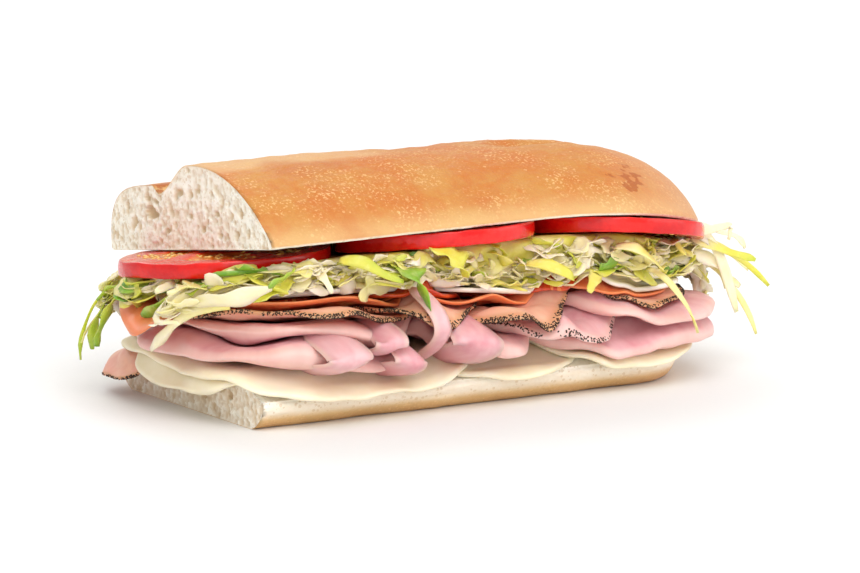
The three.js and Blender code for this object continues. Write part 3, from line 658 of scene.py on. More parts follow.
# The slices, from the bottom up: place, half sizes and squareness on the flat, thickness, the
# share of the filling's air below it, its ruffles (depth, wavelength, phase) and its folded
# front (bulge, wavelength, phase), both left out where it lies flat.
sliceKeys = ("name", "x", "y", "rx", "ry", "square", "thick", "air", "ruffle", "fold")
sliceRows = [
    ("pepper_ham_1", -70, 26, 17, 17, 2, 1.1, 0),
    ("cheese_1", -62, -6, 22, 26, 4, 1.6, 0, (0.5, 30, 2)),
    ("cheese_2", 6, -3, 34, 39.5, 2, 1.6, 0, (0.3, 60, 1)),
    ("cheese_3", -42, -1, 39, 41.5, 4, 1.6, 0, (0.4, 52, 2)),
    ("cheese_4", 40, -3, 32, 40, 2.3, 1.6, 0, (0.3, 50, 0)),
    ("ham_1", -51, -2, 29, 39, 3.4, 2.2, 0.4, (1.0, 46, 3.6), (6.2, 46, 3.6)),
    ("ham_2", 40, -6, 33, 35.5, 3, 2.2, 0.05, (0.8, 52, 0.4), (4.4, 46, 0.6)),
    ("ham_3", -6, -7, 23, 35, 2.6, 1.5, 0.45, (1.3, 21, 2.4), (5.2, 23, 1.4)),
    ("ham_4", 18, -8, 27, 34, 2.6, 1.5, 0.3, (0.7, 38, 0.2), (3.8, 50, 2.8)),
    ("ham_5", -48, -4, 29, 36, 3, 1.5, 0.5, (1.0, 34, 4.4), (5.4, 46, 0.6)),
    ("ham_6", 45, -8, 26, 33, 2.6, 1.6, 0.4, (0.6, 40, 2.2), (3.2, 40, 3.6)),
    ("pepper_ham_2", -48, -3, 32, 37, 3, 1, 0.7, (0.7, 25, 1.5), (0.8, 30, 1)),
    ("pepper_ham_3", 5, -8, 24, 33.5, 2.8, 1, 0.66, (0.4, 50, 2)),
    ("pepper_ham_4", -22, -8, 24, 33, 2.3, 0.9, 0.8, (0.9, 22, 0.5), (0.8, 22, 2)),
    ("pepper_ham_5", 45, -8, 23, 32, 2, 1, 0.76, (0.4, 34, 1)),
    ("capicola_1", -50, -2, 31, 36, 2.8, 0.9, 0.88, (0.4, 24, 2.4)),
    ("capicola_2", -6, -6, 29, 31.5, 3, 0.8, 0.9, (0.3, 30, 1.7)),
    ("capicola_3", 37, -6, 27, 31.5, 2.4, 0.9, 0.92, (0.3, 30, 0)),
    ("pepperoni_1", -58, 1, 20, 27, 2, 1.2, 0.96),
    ("pepperoni_2", -24, -8, 24, 29, 2, 1.2, 0.97),
    ("pepperoni_3", 19, -9, 24, 27, 2, 1.2, 0.98),
    ("onion_1", -45, -8, 27, 28, 2.4, 1.5, 1),
    ("onion_2", 0, -9, 27, 28, 2.4, 1.3, 1),
    ("onion_3", 42, -10, 24, 27, 2.4, 1.5, 1),
]
flatWave = (0, 30, 0)
slices = [{"ruffle": flatWave, "fold": flatWave, **dict(zip(sliceKeys, row))} for row in sliceRows]


# How far flat points lie outside a rectangle with rounded ends, and what that is worked out from.
def outsideBox(u, v, form):
    middle = (form["leftX"] + form["rightX"]) / 2
    corner = np.where(u < middle, form["cutRound"], form["heelRound"])
    qx = np.abs(u - middle) - (form["rightX"] - form["leftX"]) / 2 + corner
    qy = np.abs(v) - form["halfWidth"] + corner
    away = np.hypot(np.maximum(qx, 0), np.maximum(qy, 0))
    return np.minimum(np.maximum(qx, qy), 0) + away - corner, middle, qx, qy, away


# How far flat points lie outside the edge that the slices hang over, the way straight out,
# and the nearest points of the edge.
def beyondEdge(u, v):
    d, middle, qx, qy, away = outsideBox(u, v, filling)
    safe = np.maximum(away, 1e-9)
    nx = np.where(away > 0, np.maximum(qx, 0) / safe, qx > qy) * np.sign(u - middle)
    ny = np.where(away > 0, np.maximum(qy, 0) / safe, qx <= qy) * np.sign(v)
    back = np.maximum(d, 0)
    bx, by = u - nx * back, v - ny * back
    walk = bx + clamp((bx - middle) / filling["walkTurn"], -1, 1) * (by + filling["halfWidth"])
    return {"u": u, "v": v, "d": d, "nx": nx, "ny": ny, "bx": bx, "by": by, "walk": walk}


def beyondRim(s, u, v):
    a, b = np.abs(u - s["x"]) / s["rx"], np.abs(v - s["y"]) / s["ry"]
    return ((a ** s["square"] + b ** s["square"]) ** (1 / s["square"]) - 1) * min(s["rx"], s["ry"])


def coverOf(s, u, v):
    return 1 - ease((beyondRim(s, u, v) - filling["coverReach"]) / filling["coverRun"])


def acrossShare(y):
    return clamp((y + filling["halfWidth"]) / (2 * filling["halfWidth"]))


def meatTopAt(x, y):
    along = ease((x + 60) / 110)
    across = acrossShare(y)
    front = blend(filling["frontLeft"], filling["frontRight"], along)
    return blend(front, blend(filling["backLeft"], filling["backRight"], along), across)


def ruffleOf(s, out):
    depth, length, phase = s["ruffle"]
    return depth * ease((out["d"] + 2) / 9) * (1 + np.sin(tau * out["walk"] / length + phase))


# How much the folded edge of a slice stands up, and the part of it left by its rounded rim.
def foldOf(s, out):
    bulge, length, phase = s["fold"]
    lobes = 0.66 + 0.34 * np.sin(tau * out["walk"] / length + phase)
    return bulge * lobes * ease((out["d"] + 16) / 12) * (1 - 0.7 * acrossShare(out["by"]))


def rimRound(s, out):
    return np.sqrt(1 - clamp(1 + beyondRim(s, out["u"], out["v"]) / filling["rimRadius"]) ** 2)


# The height of every slice's underside above the bread at flat points, and the top of them all.
def stackAt(u, v):
    out = beyondEdge(u, v)
    turn = clamp(out["d"] / filling["bendRadius"], 0, filling["bendAngle"])
    squeeze = filling["squeeze"] * np.sin(turn) ** 2 + np.cos(turn) ** 2
    floor = baseTop(out["bx"], out["by"]) + 0.6 + filling["clearance"]
    folds = [foldOf(s, out) for s in slices]
    total = sum((s["thick"] + fold + filling["clearance"]) * coverOf(s, out["bx"], out["by"])
                for s, fold in zip(slices, folds))
    air = np.maximum(0, meatTopAt(out["bx"], out["by"]) - floor - total)
    heights = []
    pile = 0
    for s, fold in zip(slices, folds):
        ruffle = ruffleOf(s, out)
        heights.append(pile / squeeze + s["air"] * air + ruffle)
        pile = pile + (s["thick"] + fold + filling["clearance"] + ruffle) * coverOf(s, out["u"], out["v"])
    return {**out, "turn": turn, "floor": floor, "heights": heights, "folds": folds,
            "top": pile / squeeze + air}


def drape(spot, high, h):
    rest = np.maximum(0, spot["d"] - filling["bendRadius"] * filling["bendAngle"])
    turn = spot["turn"]
    reach = (filling["bendRadius"] + high * filling["squeeze"] + h) * np.sin(turn) + rest * np.cos(turn)
    push = reach - np.maximum(spot["d"], 0)
    drop = filling["bendRadius"] * (1 - np.cos(turn)) + rest * np.sin(turn)
    return np.stack([spot["u"] + spot["nx"] * push, spot["v"] + spot["ny"] * push,
                     spot["floor"] + (high + h) * np.cos(turn) - drop], axis=1)


sliceMesh = {"rings": 30, "spokes": 170, "wobble": 0.012, "rimFrom": 0.4, "rimSteps": 5}
crumpleForm = {"out": 0.9, "up": 0.5, "length": 13, "from": -1, "run": 5}


# Slices crumple together where they hang over the edge.
def crumple(points, spot):
    form = crumpleForm
    share = ease((spot["d"] - form["from"]) / form["run"])
    out, up = [form[key] * share * waves(points * [1, 1, 1.5], form["length"], seed)
               for key, seed in (("out", 61), ("up", 62))]
    return points + np.stack([spot["nx"] * out, spot["ny"] * out, up], axis=1)


# Loose folds of a slice that bulge out of the front: start, bow, end, width and the way across.
curls = {
    "ham_5": [((-55, -30, 26), (-53, -72, 20), (-56, -30, 14), 12, (1, 0.1, 0.12)),
              ((-39, -30, 27), (-42, -69, 23), (-41, -30, 18), 8, (1, -0.2, 0.3)),
              ((-35, -30, 23), (-34, -69, 17), (-36, -30, 12), 9, (1, 0.15, -0.2))],
    "ham_3": [((-26, -34, 35), (-25, -64, 27), (-23, -34, 15), 6, (1, 0.5, 0.1)),
              ((-14, -30, 27), (-13, -69, 20), (-15, -30, 13), 13, (1, -0.1, -0.12))],
}
curlForm = {"steps": 40, "thick": 1.4, "roll": 0, "twist": 0.25, "taper": 0, "frill": 0.3, "edge": 0.1,
            "cup": 0.15}
pepperBand = {"kinds": ("ham_4", "pepper_ham"), "wide": 0.55, "run": 0.3, "hamUp": 0.78, "hamRun": 0.1}
pepperFlakes = {"Density": 5.2e6, "Smallest": (1.6e-4, 1.4e-4, 1.2e-4), "Largest": (4.2e-4, 3.6e-4, 2.8e-4)}


def addCurls(name, points, faces, inward, flat):
    for a, b, c, wide, side in curls.get(name, []):
        path = bend3(a, b, c, curlForm["steps"])
        ring, count = ribbon(path, {**curlForm, "wide": wide, "side": np.array(side)})
        faces += ribbonFaces(len(path), count, len(points))
        half = 1 - np.abs(np.linspace(-1, 1, count // 2))
        inward = np.append(inward, np.tile(np.append(half, half[::-1]) * wide / 2, len(path)))
        flat = np.concatenate([flat, ring[:, [0, 2]]])
        points = np.concatenate([points, ring])
    return points, faces, inward, flat


# Rings of a slice from the middle of its top round its rim to the middle of its underside: how
# far out each is, as a share of the outline, and how high in the slice.
def sliceRings(s):
    half = 0.5 * s["thick"] / min(s["rx"], s["ry"])
    count = sliceMesh["rings"]
    shares = (1 - half) * (1 - (1 - np.arange(1, count + 1) / count) ** 1.5)
    turns = np.linspace(sliceMesh["rimFrom"], math.pi - sliceMesh["rimFrom"], sliceMesh["rimSteps"])
    rim = [(1 - half + half * math.sin(a), 0.5 + 0.5 * math.cos(a)) for a in turns]
    rings = np.array([(t, 1.0) for t in shares] + rim + [(t, 0.0) for t in shares[::-1]])
    return rings[:, 0], rings[:, 1]


def makeSlice(index, material, slot):
    s = slices[index]
    dice = np.random.default_rng(100 + index)
    spokes = sliceMesh["spokes"]
    angle = tau * np.arange(spokes) / spokes
    round3, round7 = dice.uniform(0, tau, 2)
    power = s["square"]
    outline = (np.abs(np.cos(angle)) ** power + np.abs(np.sin(angle)) ** power) ** (-1 / power)
    outline *= 1 + sliceMesh["wobble"] * (np.sin(3 * angle + round3) + 0.6 * np.sin(7 * angle + round7))
    shares, ups = sliceRings(s)
    radius = (shares[:, None] * outline).ravel()
    upper = np.append(np.repeat(ups, spokes), [1, 0])
    around = np.tile(angle, len(shares))
    u = np.append(s["x"] + np.cos(around) * radius * s["rx"], [s["x"], s["x"]])
    v = np.append(s["y"] + np.sin(around) * radius * s["ry"], [s["y"], s["y"]])
    spot = stackAt(u, v)
    fold, left = spot["folds"][index], rimRound(s, spot)
    h = 0.5 * fold * (1 - left) + upper * (s["thick"] + fold * left)
    points = crumple(drape(spot, spot["heights"][index], h), spot)
    faces = roundFaces(len(shares), spokes)
    inward = np.append(1 - np.repeat(shares, spokes), [1, 1]) * min(s["rx"], s["ry"])
    flat = np.stack([u - s["x"], v - s["y"]], axis=1)
    points, faces, inward, flat = addCurls(s["name"], points, faces, inward, flat)
    name = s["name"].replace("_ham_", "Ham").replace("_", "") + "Slice"
    isPeppered = s["name"].startswith(pepperBand["kinds"])
    rough = clamp(0.65 + 0.5 * waves(points, 7, 60 + index))
    pepper = ease((pepperBand["wide"] - inward) / pepperBand["run"]) * rough * isPeppered
    if slot == "ham" and isPeppered:
        pepper *= np.abs(upper - pepperBand["hamUp"]) < pepperBand["hamRun"]
    piece = makePiece(name, points, faces, material, node=s["name"], flat=flat,
                      attributes={"rim": inward, "pepper": pepper})
    if isPeppered:
        scatterOn(piece, name + "Pepper", slot, Mask="pepper", Seed=index, Material=pepperMaterial,
                  **pepperFlakes)


# What each kind of slice is made of: its two tones, spots or a rim of another colour, its relief
# and its gloss. The patterns of flat ones follow the slice.
sliceLooks = {
    "cheese": ("paleCheese", {
        "tone": {"Pale": srgb(248, 234, 206), "Deep": srgb(242, 226, 192), "Patch": 40.0, "Grain": 300.0},
        "spots": {"Scale": 170.0, "Share": 0.02, "Size": 0.12}, "other": srgb(70, 50, 35),
        "relief": {"Coarse": 90.0, "Fine": 700.0, "Height": 0.08},
        "gloss": {"roughness": 0.42, "soft": 0.35, "softScale": 0.004, "specular": 0.45,
                  "softRadius": (1.0, 0.75, 0.4)}}),
    "ham": ("cookedHam", {
        "tone": {"Pale": srgb(232, 184, 186), "Deep": srgb(214, 142, 150), "Patch": 48.0, "Grain": 320.0},
        # The ham's paler rim tint is painted light, standing in for light shining through the thin edge.
        "flat": True, "rim": (0.2, 1.6, 0.6, 0.0), "other": srgb(238, 200, 184),
        "relief": {"Coarse": 110.0, "Fine": 900.0, "Height": 0.1},
        "gloss": {"roughness": 0.36, "soft": 0.3, "softScale": 0.003, "softRadius": (1.0, 0.4, 0.35)}}),
    "pepper_ham": ("pepperedHam", {
        "tone": {"Pale": srgb(242, 190, 164), "Deep": srgb(228, 152, 132), "Patch": 40.0, "Grain": 260.0},
        "flat": True, "rim": (0.3, 1.3, 0.75, 0.0), "other": srgb(206, 146, 98),
        "relief": {"Coarse": 160.0, "Fine": 900.0, "Height": 0.15},
        "gloss": {"roughness": 0.42, "soft": 0.3, "softScale": 0.003, "softRadius": (1.0, 0.35, 0.25)}}),
    "capicola": ("curedPork", {
        "tone": {"Pale": srgb(244, 156, 102), "Deep": srgb(212, 72, 44), "Patch": 110.0, "Grain": 420.0},
        "flat": True, "rim": (0.3, 2.6, 1.0, 0.0), "other": srgb(236, 132, 80),
        "relief": {"Coarse": 200.0, "Fine": 1200.0, "Height": 0.15},
        "gloss": {"roughness": 0.35, "soft": 0.3, "softScale": 0.003, "coat": 0.15,
                  "softRadius": (1.0, 0.35, 0.2)}}),
    "pepperoni": ("pepperoniSlice", {
        "tone": {"Pale": srgb(230, 88, 28), "Deep": srgb(190, 44, 16), "Patch": 260.0, "Grain": 900.0},
        "flat": True, "spots": {"Scale": 520.0, "Share": 0.3, "Size": 0.5}, "other": srgb(240, 140, 70),
        "relief": {"Coarse": 400.0, "Fine": 1500.0, "Height": 0.25},
        "gloss": {"roughness": 0.32, "soft": 0.2, "coat": 0.3, "softRadius": (1.0, 0.3, 0.1)}}),
}
pepperLook = {"tone": {"Pale": srgb(74, 54, 42), "Deep": srgb(26, 20, 18), "Patch": 900.0},
              "gloss": {"roughness": 0.6, "specular": 0.3}}
onionLook = {"pale": srgb(250, 244, 226), "deep": srgb(226, 222, 180), "ringApart": 0.0042,
             "gloss": {"roughness": 0.22, "soft": 0.5, "softScale": 0.004, "coat": 0.2,
                       "softRadius": (0.9, 1.0, 0.7)}}


def makeOnionMaterial():
    material, tree, shader = newMaterial("wetOnion")
    place = flatPlace(tree)
    far = add(tree, "ShaderNodeVectorMath", {"operation": "LENGTH"})
    put(tree, far.inputs[0], place)
    rings = calc(tree, "SINE", calc(tree, "MULTIPLY", far.outputs["Value"], tau / onionLook["ringApart"]))
    tone = mixColour(tree, ramp(tree, rings, 0.4, 1.0), onionLook["pale"], onionLook["deep"])
    finishLook(tree, shader, place, tone, onionLook)
    bump = add(tree, "ShaderNodeBump", Strength=0.4, Distance=0.0006, Height=rings)
    put(tree, shader.inputs["Normal"], bump.outputs["Normal"])
    return material


pepperMaterial = makeToned("crackedPepper", pepperLook)
sliceMaterials = {kind: makeToned(*look) for kind, look in sliceLooks.items()}
sliceMaterials["onion"] = makeOnionMaterial()
for index, s in enumerate(slices):
    kind = s["name"].rsplit("_", 1)[0]
    makeSlice(index, sliceMaterials[kind], kind)
print("slices made")

# Tomato slices: place, radius, how much each leans out and how its seed hollows are turned.
tomatoKeys = ("name", "x", "y", "r", "lean", "turn")
tomatoRows = [("tomato_1", -62.5, 1, 28.6, 0.1, 0.3), ("tomato_2", -8.5, -17, 27, 0, 1.4),
              ("tomato_3", 46, -17, 26.5, 0, 2.2)]
tomatoes = [dict(zip(tomatoKeys, row)) for row in tomatoRows]
tomatoShape = {"thick": 4.3, "droop": 0.02, "droopY": -37, "spokes": 180, "rings": 44, "pockets": 5,
               "hollow": 0.75}
tomatoLook = {
    "tone": {"Pale": srgb(226, 44, 30), "Deep": srgb(210, 20, 16), "Patch": 150.0, "Grain": 700.0},
    "wall": {"Pale": srgb(232, 26, 18), "Deep": srgb(206, 0, 6), "Patch": 70.0, "Grain": 500.0},
    "gel": srgb(222, 120, 34), "relief": {"Coarse": 150.0, "Fine": 700.0, "Height": 0.35},
    "gloss": {"roughness": 0.16, "soft": 0.06, "coat": 0.3, "specular": 0.35,
              "softRadius": (1.0, 0.1, 0.05)},
}
seedLook = {"tone": {"Pale": srgb(244, 208, 130), "Deep": srgb(226, 172, 84), "Patch": 700.0},
            "gloss": {"roughness": 0.25, "soft": 0.3, "softScale": 0.001, "coat": 0.3}}
seedGrains = {"Density": 1.1e5, "Smallest": (7e-4, 4.5e-4, 2.5e-4), "Largest": (1.1e-3, 6.5e-4, 4e-4)}


def tomatoUnder(t, x, y):
    out = np.maximum(0, np.maximum(roll["cutX"] - x, tomatoShape["droopY"] - y))
    down = tomatoShape["droop"] * out ** 1.5 + t["lean"] * np.maximum(0, -y)
    return topUnder(x, y) - filling["clearance"] - tomatoShape["thick"] - down


# The ceiling over the lettuce: the roll, and the underside of the tomatoes with a soft step.
def ceilingAt(x, y):
    step = tomatoShape["thick"] * (1 - ease((y - lettuce["riseY"]) / lettuce["riseRun"]))
    high = topUnder(x, y) - 2 * filling["clearance"] - step
    for t in tomatoes:
        away = np.hypot(x - t["x"], y - t["y"]) - t["r"] - 2 * filling["clearance"]
        high = blend(np.minimum(high, tomatoUnder(t, x, y) - filling["clearance"]), high, ease(away / 1.5))
    return high


def makeTomatoMaterial():
    material, tree, shader = newMaterial("wetTomato")
    place = ownPlace(tree)
    tone = useGroup(tree, mottle, Place=place, **tomatoLook["tone"])
    wall = useGroup(tree, mottle, Place=place, **tomatoLook["wall"])
    colour = mixColour(tree, attribute(tree, "gel"), tone.outputs["Colour"], tomatoLook["gel"])
    colour = mixColour(tree, attribute(tree, "skin"), colour, wall.outputs["Colour"])
    finishLook(tree, shader, place, colour, tomatoLook)
    return material


# Rings of a tomato slice from the middle of its top to that of its underside: share of the
# radius, and height.
def tomatoRings():
    thick = tomatoShape["thick"]
    shares = np.append(np.linspace(0.03, 0.94, tomatoShape["rings"]), [0.965, 0.985])
    rings = [(share, thick) for share in shares]
    rings += [(0.985 + 0.015 * math.sin(a), thick / 2 + (thick / 2 - 0.1) * math.cos(a))
              for a in np.linspace(0.3, 2.8, 9)]
    rings = np.array(rings + [(share, 0) for share in shares[::-1]])
    return rings[:, 0], rings[:, 1]


def makeTomato(t):
    thick, spokes = tomatoShape["thick"], tomatoShape["spokes"]
    angle = tau * np.arange(spokes) / spokes
    wobble = 1 + 0.015 * np.sin(3 * angle + t["x"]) + 0.01 * np.sin(5 * angle)
    shares, ups = tomatoRings()
    around = np.append(np.tile(angle, len(shares)), [0, 0])
    share = np.append(np.repeat(shares, spokes), [0, 0])
    up = np.append(np.repeat(ups, spokes), [thick, 0])
    reach = t["r"] * share * np.append(np.tile(wobble, len(shares)), [0, 0])
    # Seed hollows: pockets between the outer wall, the ribs and the heart.
    rib = np.abs(np.sin(tomatoShape["pockets"] / 2 * (around + t["turn"])))
    pocket = ease((share - 0.3) / 0.1) * (1 - ease((share - 0.72) / 0.12)) * ease((rib - 0.25) / 0.3)
    x, y = t["x"] + np.cos(around) * reach, t["y"] + np.sin(around) * reach
    points = np.stack([x, y, tomatoUnder(t, x, y) + up], axis=1)
    side = np.where(up >= thick, -1.0, np.where(up <= 0, 1.0, 0.0))
    lumps = tomatoShape["hollow"] * pocket * (0.75 + 0.25 * waves(points, 3.2, int(t["r"] * 10)))
    points[:, 2] += side * (lumps + 0.1 * (1 + waves(points, 6, int(t["r"] * 7))))
    name = t["name"].replace("_", "")
    piece = makePiece(name + "Slice", points, roundFaces(len(shares), spokes), tomatoMaterial,
                      node=t["name"], attributes={"gel": pocket * np.abs(side),
                                                  "skin": ease((share - 0.972) / 0.02)})
    scatterOn(piece, name + "Seeds", "tomato", Mask="gel", Seed=int(t["r"] * 10), Material=seedMaterial,
              **seedGrains)


tomatoMaterial = makeTomatoMaterial()
seedMaterial = makeToned("tomatoSeed", seedLook)
for t in tomatoes:
    makeTomato(t)
print("tomatoes made")

# Lettuce: a core and the shreds that stand out of it
lettuce = {"leftX": -78, "rightX": 70, "halfWidth": 36, "heelRound": 28, "cutRound": 12, "inset": 2.0,
           "riseY": -8, "riseRun": 14, "middleX": -7, "farthest": 110.0, "spokes": 260}
shredLook = {"count": 620, "seed": 5, "wide": (1.4, 3.4), "leafWide": (3.6, 7.5), "leafShare": 0.42,
             "thick": 0.45,
             "swing": 36, "reach": (0.5, 4.5), "steps": 14, "free": 0.06, "droop": 0.12,
             "shades": (0.0, 0.2, 0.42, 0.6, 0.9), "shadeShares": (0.32, 0.27, 0.2, 0.14, 0.07)}


def lettuceOutside(u, v):
    return outsideBox(u, v, lettuce)[0] + 1.2 * np.sin(u / 4.1) + 1.2 * np.sin(v / 3.3 + u / 9)


def lettuceSpan(u, v):
    spot = stackAt(u, v)
    low = drape(spot, spot["top"] + filling["clearance"], 0)
    room = np.maximum(1.2, ceilingAt(low[:, 0], low[:, 1]) - low[:, 2])
    return spot, low, room


# Distances from the heap's middle to its outline, found by halving.
def edgeRadius(angle, inset):
    low, high = np.zeros(len(angle)), np.full(len(angle), lettuce["farthest"])
    for _ in range(40):
        half = (low + high) / 2
        u, v = lettuce["middleX"] + half * np.cos(angle), half * np.sin(angle)
        inside = lettuceOutside(u, v) + inset < 0
        low, high = np.where(inside, half, low), np.where(inside, high, half)
    return low


lettuceLook = {
    "shades": ((0.0, srgb(248, 236, 202)), (0.28, srgb(240, 228, 154)), (0.52, srgb(222, 212, 84)),
               (0.75, srgb(180, 194, 60)), (1.0, srgb(108, 160, 54))),
    "vein": srgb(240, 232, 176), "relief": {"Coarse": 260.0, "Fine": 1300.0, "Height": 0.25},
    "gloss": {"roughness": 0.35, "soft": 0.35, "softScale": 0.003, "softRadius": (0.8, 1.0, 0.3)},
}


def makeLettuceMaterial():
    material, tree, shader = newMaterial("shreddedLettuce")
    place = ownPlace(tree)
    leaf = add(tree, "ShaderNodeValToRGB", Fac=attribute(tree, "shade"))
    stops = leaf.color_ramp.elements
    while len(stops) < len(lettuceLook["shades"]):
        stops.new(0.5)
    for stop, (where, colour) in zip(stops, lettuceLook["shades"]):
        stop.position = where
        stop.color = (*colour, 1)
    vein = ramp(tree, noise(tree, place, 420.0, 3.0), 0.5, 0.8, 0.0, 0.3)
    colour = mixColour(tree, vein, leaf.outputs["Color"], lettuceLook["vein"])
    finishLook(tree, shader, place, colour, lettuceLook)
    return material


def makeLettuceCore():
    spokes, middle = lettuce["spokes"], lettuce["middleX"]
    angle = tau * np.arange(spokes) / spokes
    rings = [(t, 1.0) for t in (0.25, 0.5, 0.75, 0.93)] + [(1.0, h) for h in (0.9, 0.7, 0.5, 0.3, 0.1)]
    rings += [(t, 0.0) for t in (0.93, 0.75, 0.5, 0.25)]
    reach = edgeRadius(angle, lettuce["inset"])
    u = np.append(np.concatenate([middle + t * reach * np.cos(angle) for t, _ in rings]), [middle, middle])
    v = np.append(np.concatenate([t * reach * np.sin(angle) for t, _ in rings]), [0, 0])
    share = np.append(np.repeat([h for _, h in rings], spokes), [1, 0])
    _, points, room = lettuceSpan(u, v)
    points[:, 2] += share * room
    wall = (share > 0) & (share < 1)
    out = np.stack([u - middle, v * 1.9, 0 * u], axis=1)
    out /= np.linalg.norm(out, axis=1)[:, None] + 1e-6
    points += out * (wall * 1.1 * waves(points, 5, 3))[:, None]
    # Painted shade: the core's shade value sits near 0.4, a deeper yellow-green than most shreds, as the
    # heap's inside lies in shadow under them.
    makePiece("lettuceCore", points, roundFaces(len(rings), spokes), lettuceMaterial,
              node="lettuce", attributes={"shade": clamp(0.4 + 0.25 * waves(points, 7, 9))})


# The outline of the heap as a walk round it, and places beside that walk with the way out.
def heapOutline():
    angle = np.linspace(0, tau, 1500)
    reach = edgeRadius(angle, 0.0)
    u, v = lettuce["middleX"] + reach * np.cos(angle), reach * np.sin(angle)
    return np.concatenate([[0], np.cumsum(np.hypot(np.diff(u), np.diff(v)))]), u, v


def heapPlace(outline, walk, out):
    walked, u, v = outline
    x, y = [np.interp(walk % walked[-1], walked, line) for line in (u, v)]
    tx, ty = [np.interp((walk + 5) % walked[-1], walked, line)
              - np.interp((walk - 5) % walked[-1], walked, line) for line in (u, v)]
    length = np.hypot(tx, ty) + 1e-9
    way = np.stack([ty, -tx], axis=1) / length[:, None]
    return x + way[:, 0] * out, y + way[:, 1] * out, way


# A shred starts inside the heap, bows out of its side and follows it for a while.
def randomShred(outline, dice):
    look = shredLook
    leaf = dice.random() < look["leafShare"]
    t = np.linspace(0, 1, look["steps"])
    swing = dice.uniform(-0.5, 0.5) * look["swing"] * (0.7 if leaf else 1)
    walk = dice.uniform(0, outline[0][-1]) + swing * t
    walk += 0.7 * np.sin(t * dice.uniform(4, 10) + dice.uniform(0, tau))
    inner, far = -dice.uniform(0.5, 5.5), dice.uniform(*look["reach"])
    outer = far * 1.6 if dice.random() < look["free"] else dice.uniform(-3, 1.5)
    out = inner * (1 - t) ** 2 + 2 * far * t * (1 - t) + outer * t ** 2
    near = np.minimum(out, 0.5)
    u, v, way = heapPlace(outline, walk, near)
    _, low, room = lettuceSpan(u, v)
    low[:, :2] += way * (out - near)[:, None]
    lift = dice.uniform(0.03, 0.97) * room[0] + dice.uniform(-4, 4) * t + dice.uniform(-3, 3) * t * (1 - t)
    lift += 0.6 * np.sin(t * dice.uniform(4, 10) + dice.uniform(0, tau))
    low[:, 2] += np.clip(lift, 0.4, np.maximum(0.9, room - 0.8)) - look["droop"] * (out - near) ** 2
    wide = dice.uniform(*(look["leafWide"] if leaf else look["wide"]))
    form = {"wide": wide, "thick": look["thick"], "roll": dice.normal(0, 0.5), "twist": dice.normal(0, 0.7),
            "cup": dice.uniform(-0.3, 0.3), "taper": dice.uniform(0.0, 0.7),
            "frill": dice.uniform(0.5, 1.5), "edge": 0.22}
    base = dice.choice(look["shades"], p=look["shadeShares"])
    return low, form, base, dice.uniform(-0.2, 0.3)


# Shreds that stand out of the heap where the photo shows them: start, bow, tip, width, thickness,
# roll and the shades at both ends.
placedShreds = [
    ((-79, -29, 34), (-91, -22, 33), (-92, -9, 20.5), 3.4, 1.6, 0.9, (0.35, 0.0)),
    ((-79, -18, 35), (-89, -13, 35), (-91, -4, 28), 4.2, 0.6, 0.8, (0.55, 1.0)),
    ((-80, 12, 33), (-88, 20, 33.5), (-88, 26, 27.5), 1.6, 0.6, 0.5, (0.8, 0.9)),
    ((-80, 16, 32), (-91, 19, 31), (-90, 22, 15), 4.2, 0.6, 0.4, (0.5, 0.95)),
    ((-80, 22, 31), (-91, 24, 29), (-89, 26, 14), 3.2, 0.6, 0.4, (0.6, 0.85)),
    ((-80, 24, 30), (-92, 30, 29), (-89, 32, 10), 1.5, 0.6, 0.4, (0.6, 0.8)),
    ((-77, 20, 34), (-85, 24, 36), (-86, 27, 30), 4.4, 1.1, 0.3, (0.05, 0.15)),
    ((-77, 8, 36), (-85, 12, 37), (-87, 18, 32), 4.4, 1.0, 0.5, (0.0, 0.12)),
    ((-74, -42, 40), (-86, -42, 37), (-88, -24, 34.5), 5.5, 0.8, 0.9, (0.02, 0.12)),
    ((-77, -10, 34), (-88, -4, 35), (-88, 6, 31), 4.6, 0.7, 0.7, (0.15, 0.45)),
    ((-66, -39, 43), (-71, -47, 45), (-77, -46, 41), 4.0, 0.6, 0.9, (0.75, 0.95)),
    ((-51, -39, 45), (-47, -46, 46), (-35, -45, 38.5), 3.2, 0.6, 1.0, (0.5, 0.78)),
    ((-31, -38, 41), (-30.5, -47, 43), (-27.5, -46, 30.5), 8.0, 0.6, 0.1, (0.85, 1.0)),
    ((-21, -38, 45.5), (-18, -46, 46), (-15, -44.5, 37.5), 7.5, 0.6, 0.1, (0.5, 0.6)),
    ((66, -26, 40), (75, -29, 39), (80, -29, 16.5), 3.2, 0.8, 1.3, (0.0, 0.1)),
    ((64, -24, 37), (78, -27, 37), (90, -30, 22), 2.2, 0.6, 1.2, (0.1, 0.6)),
    ((64, -22, 34), (79, -27, 31), (86, -29.5, 9.5), 2.0, 0.6, 1.2, (0.05, 0.35)),
    ((66, -20, 36), (80, -20, 35), (88, -22, 26), 2.6, 0.6, 1.0, (0.0, 0.2)),
    ((66, -28, 38), (82, -31, 43), (76, -31, 37), 2.0, 0.7, 1.2, (0.02, 0.1)),
    ((68, -26, 33), (77, -28, 30), (82, -27, 22), 3.4, 0.7, 1.0, (0.0, 0.15)),
    ((66, -18, 40), (79, -24, 40), (84, -28, 33), 2.2, 0.6, 0.6, (0.0, 0.1)),
    ((67, -26, 37), (76, -30, 34), (84, -32, 30), 2.4, 0.6, 0.8, (0.2, 0.7)),
    ((70, -16, 33), (79, -20, 31), (84, -18, 20), 3.0, 0.6, 0.8, (0.1, 0.3)),
    ((46, -38, 33), (49, -51, 32), (55, -49.5, 16), 2.2, 0.7, 0.3, (0.22, 0.32)),
    ((36, -38, 40), (40, -46, 42), (48, -43, 33), 3.8, 0.6, 0.7, (0.2, 0.5)),
    ((8, -38, 38), (14, -45, 39), (20, -44, 33), 3.4, 0.6, 0.6, (0.4, 0.6)),
]


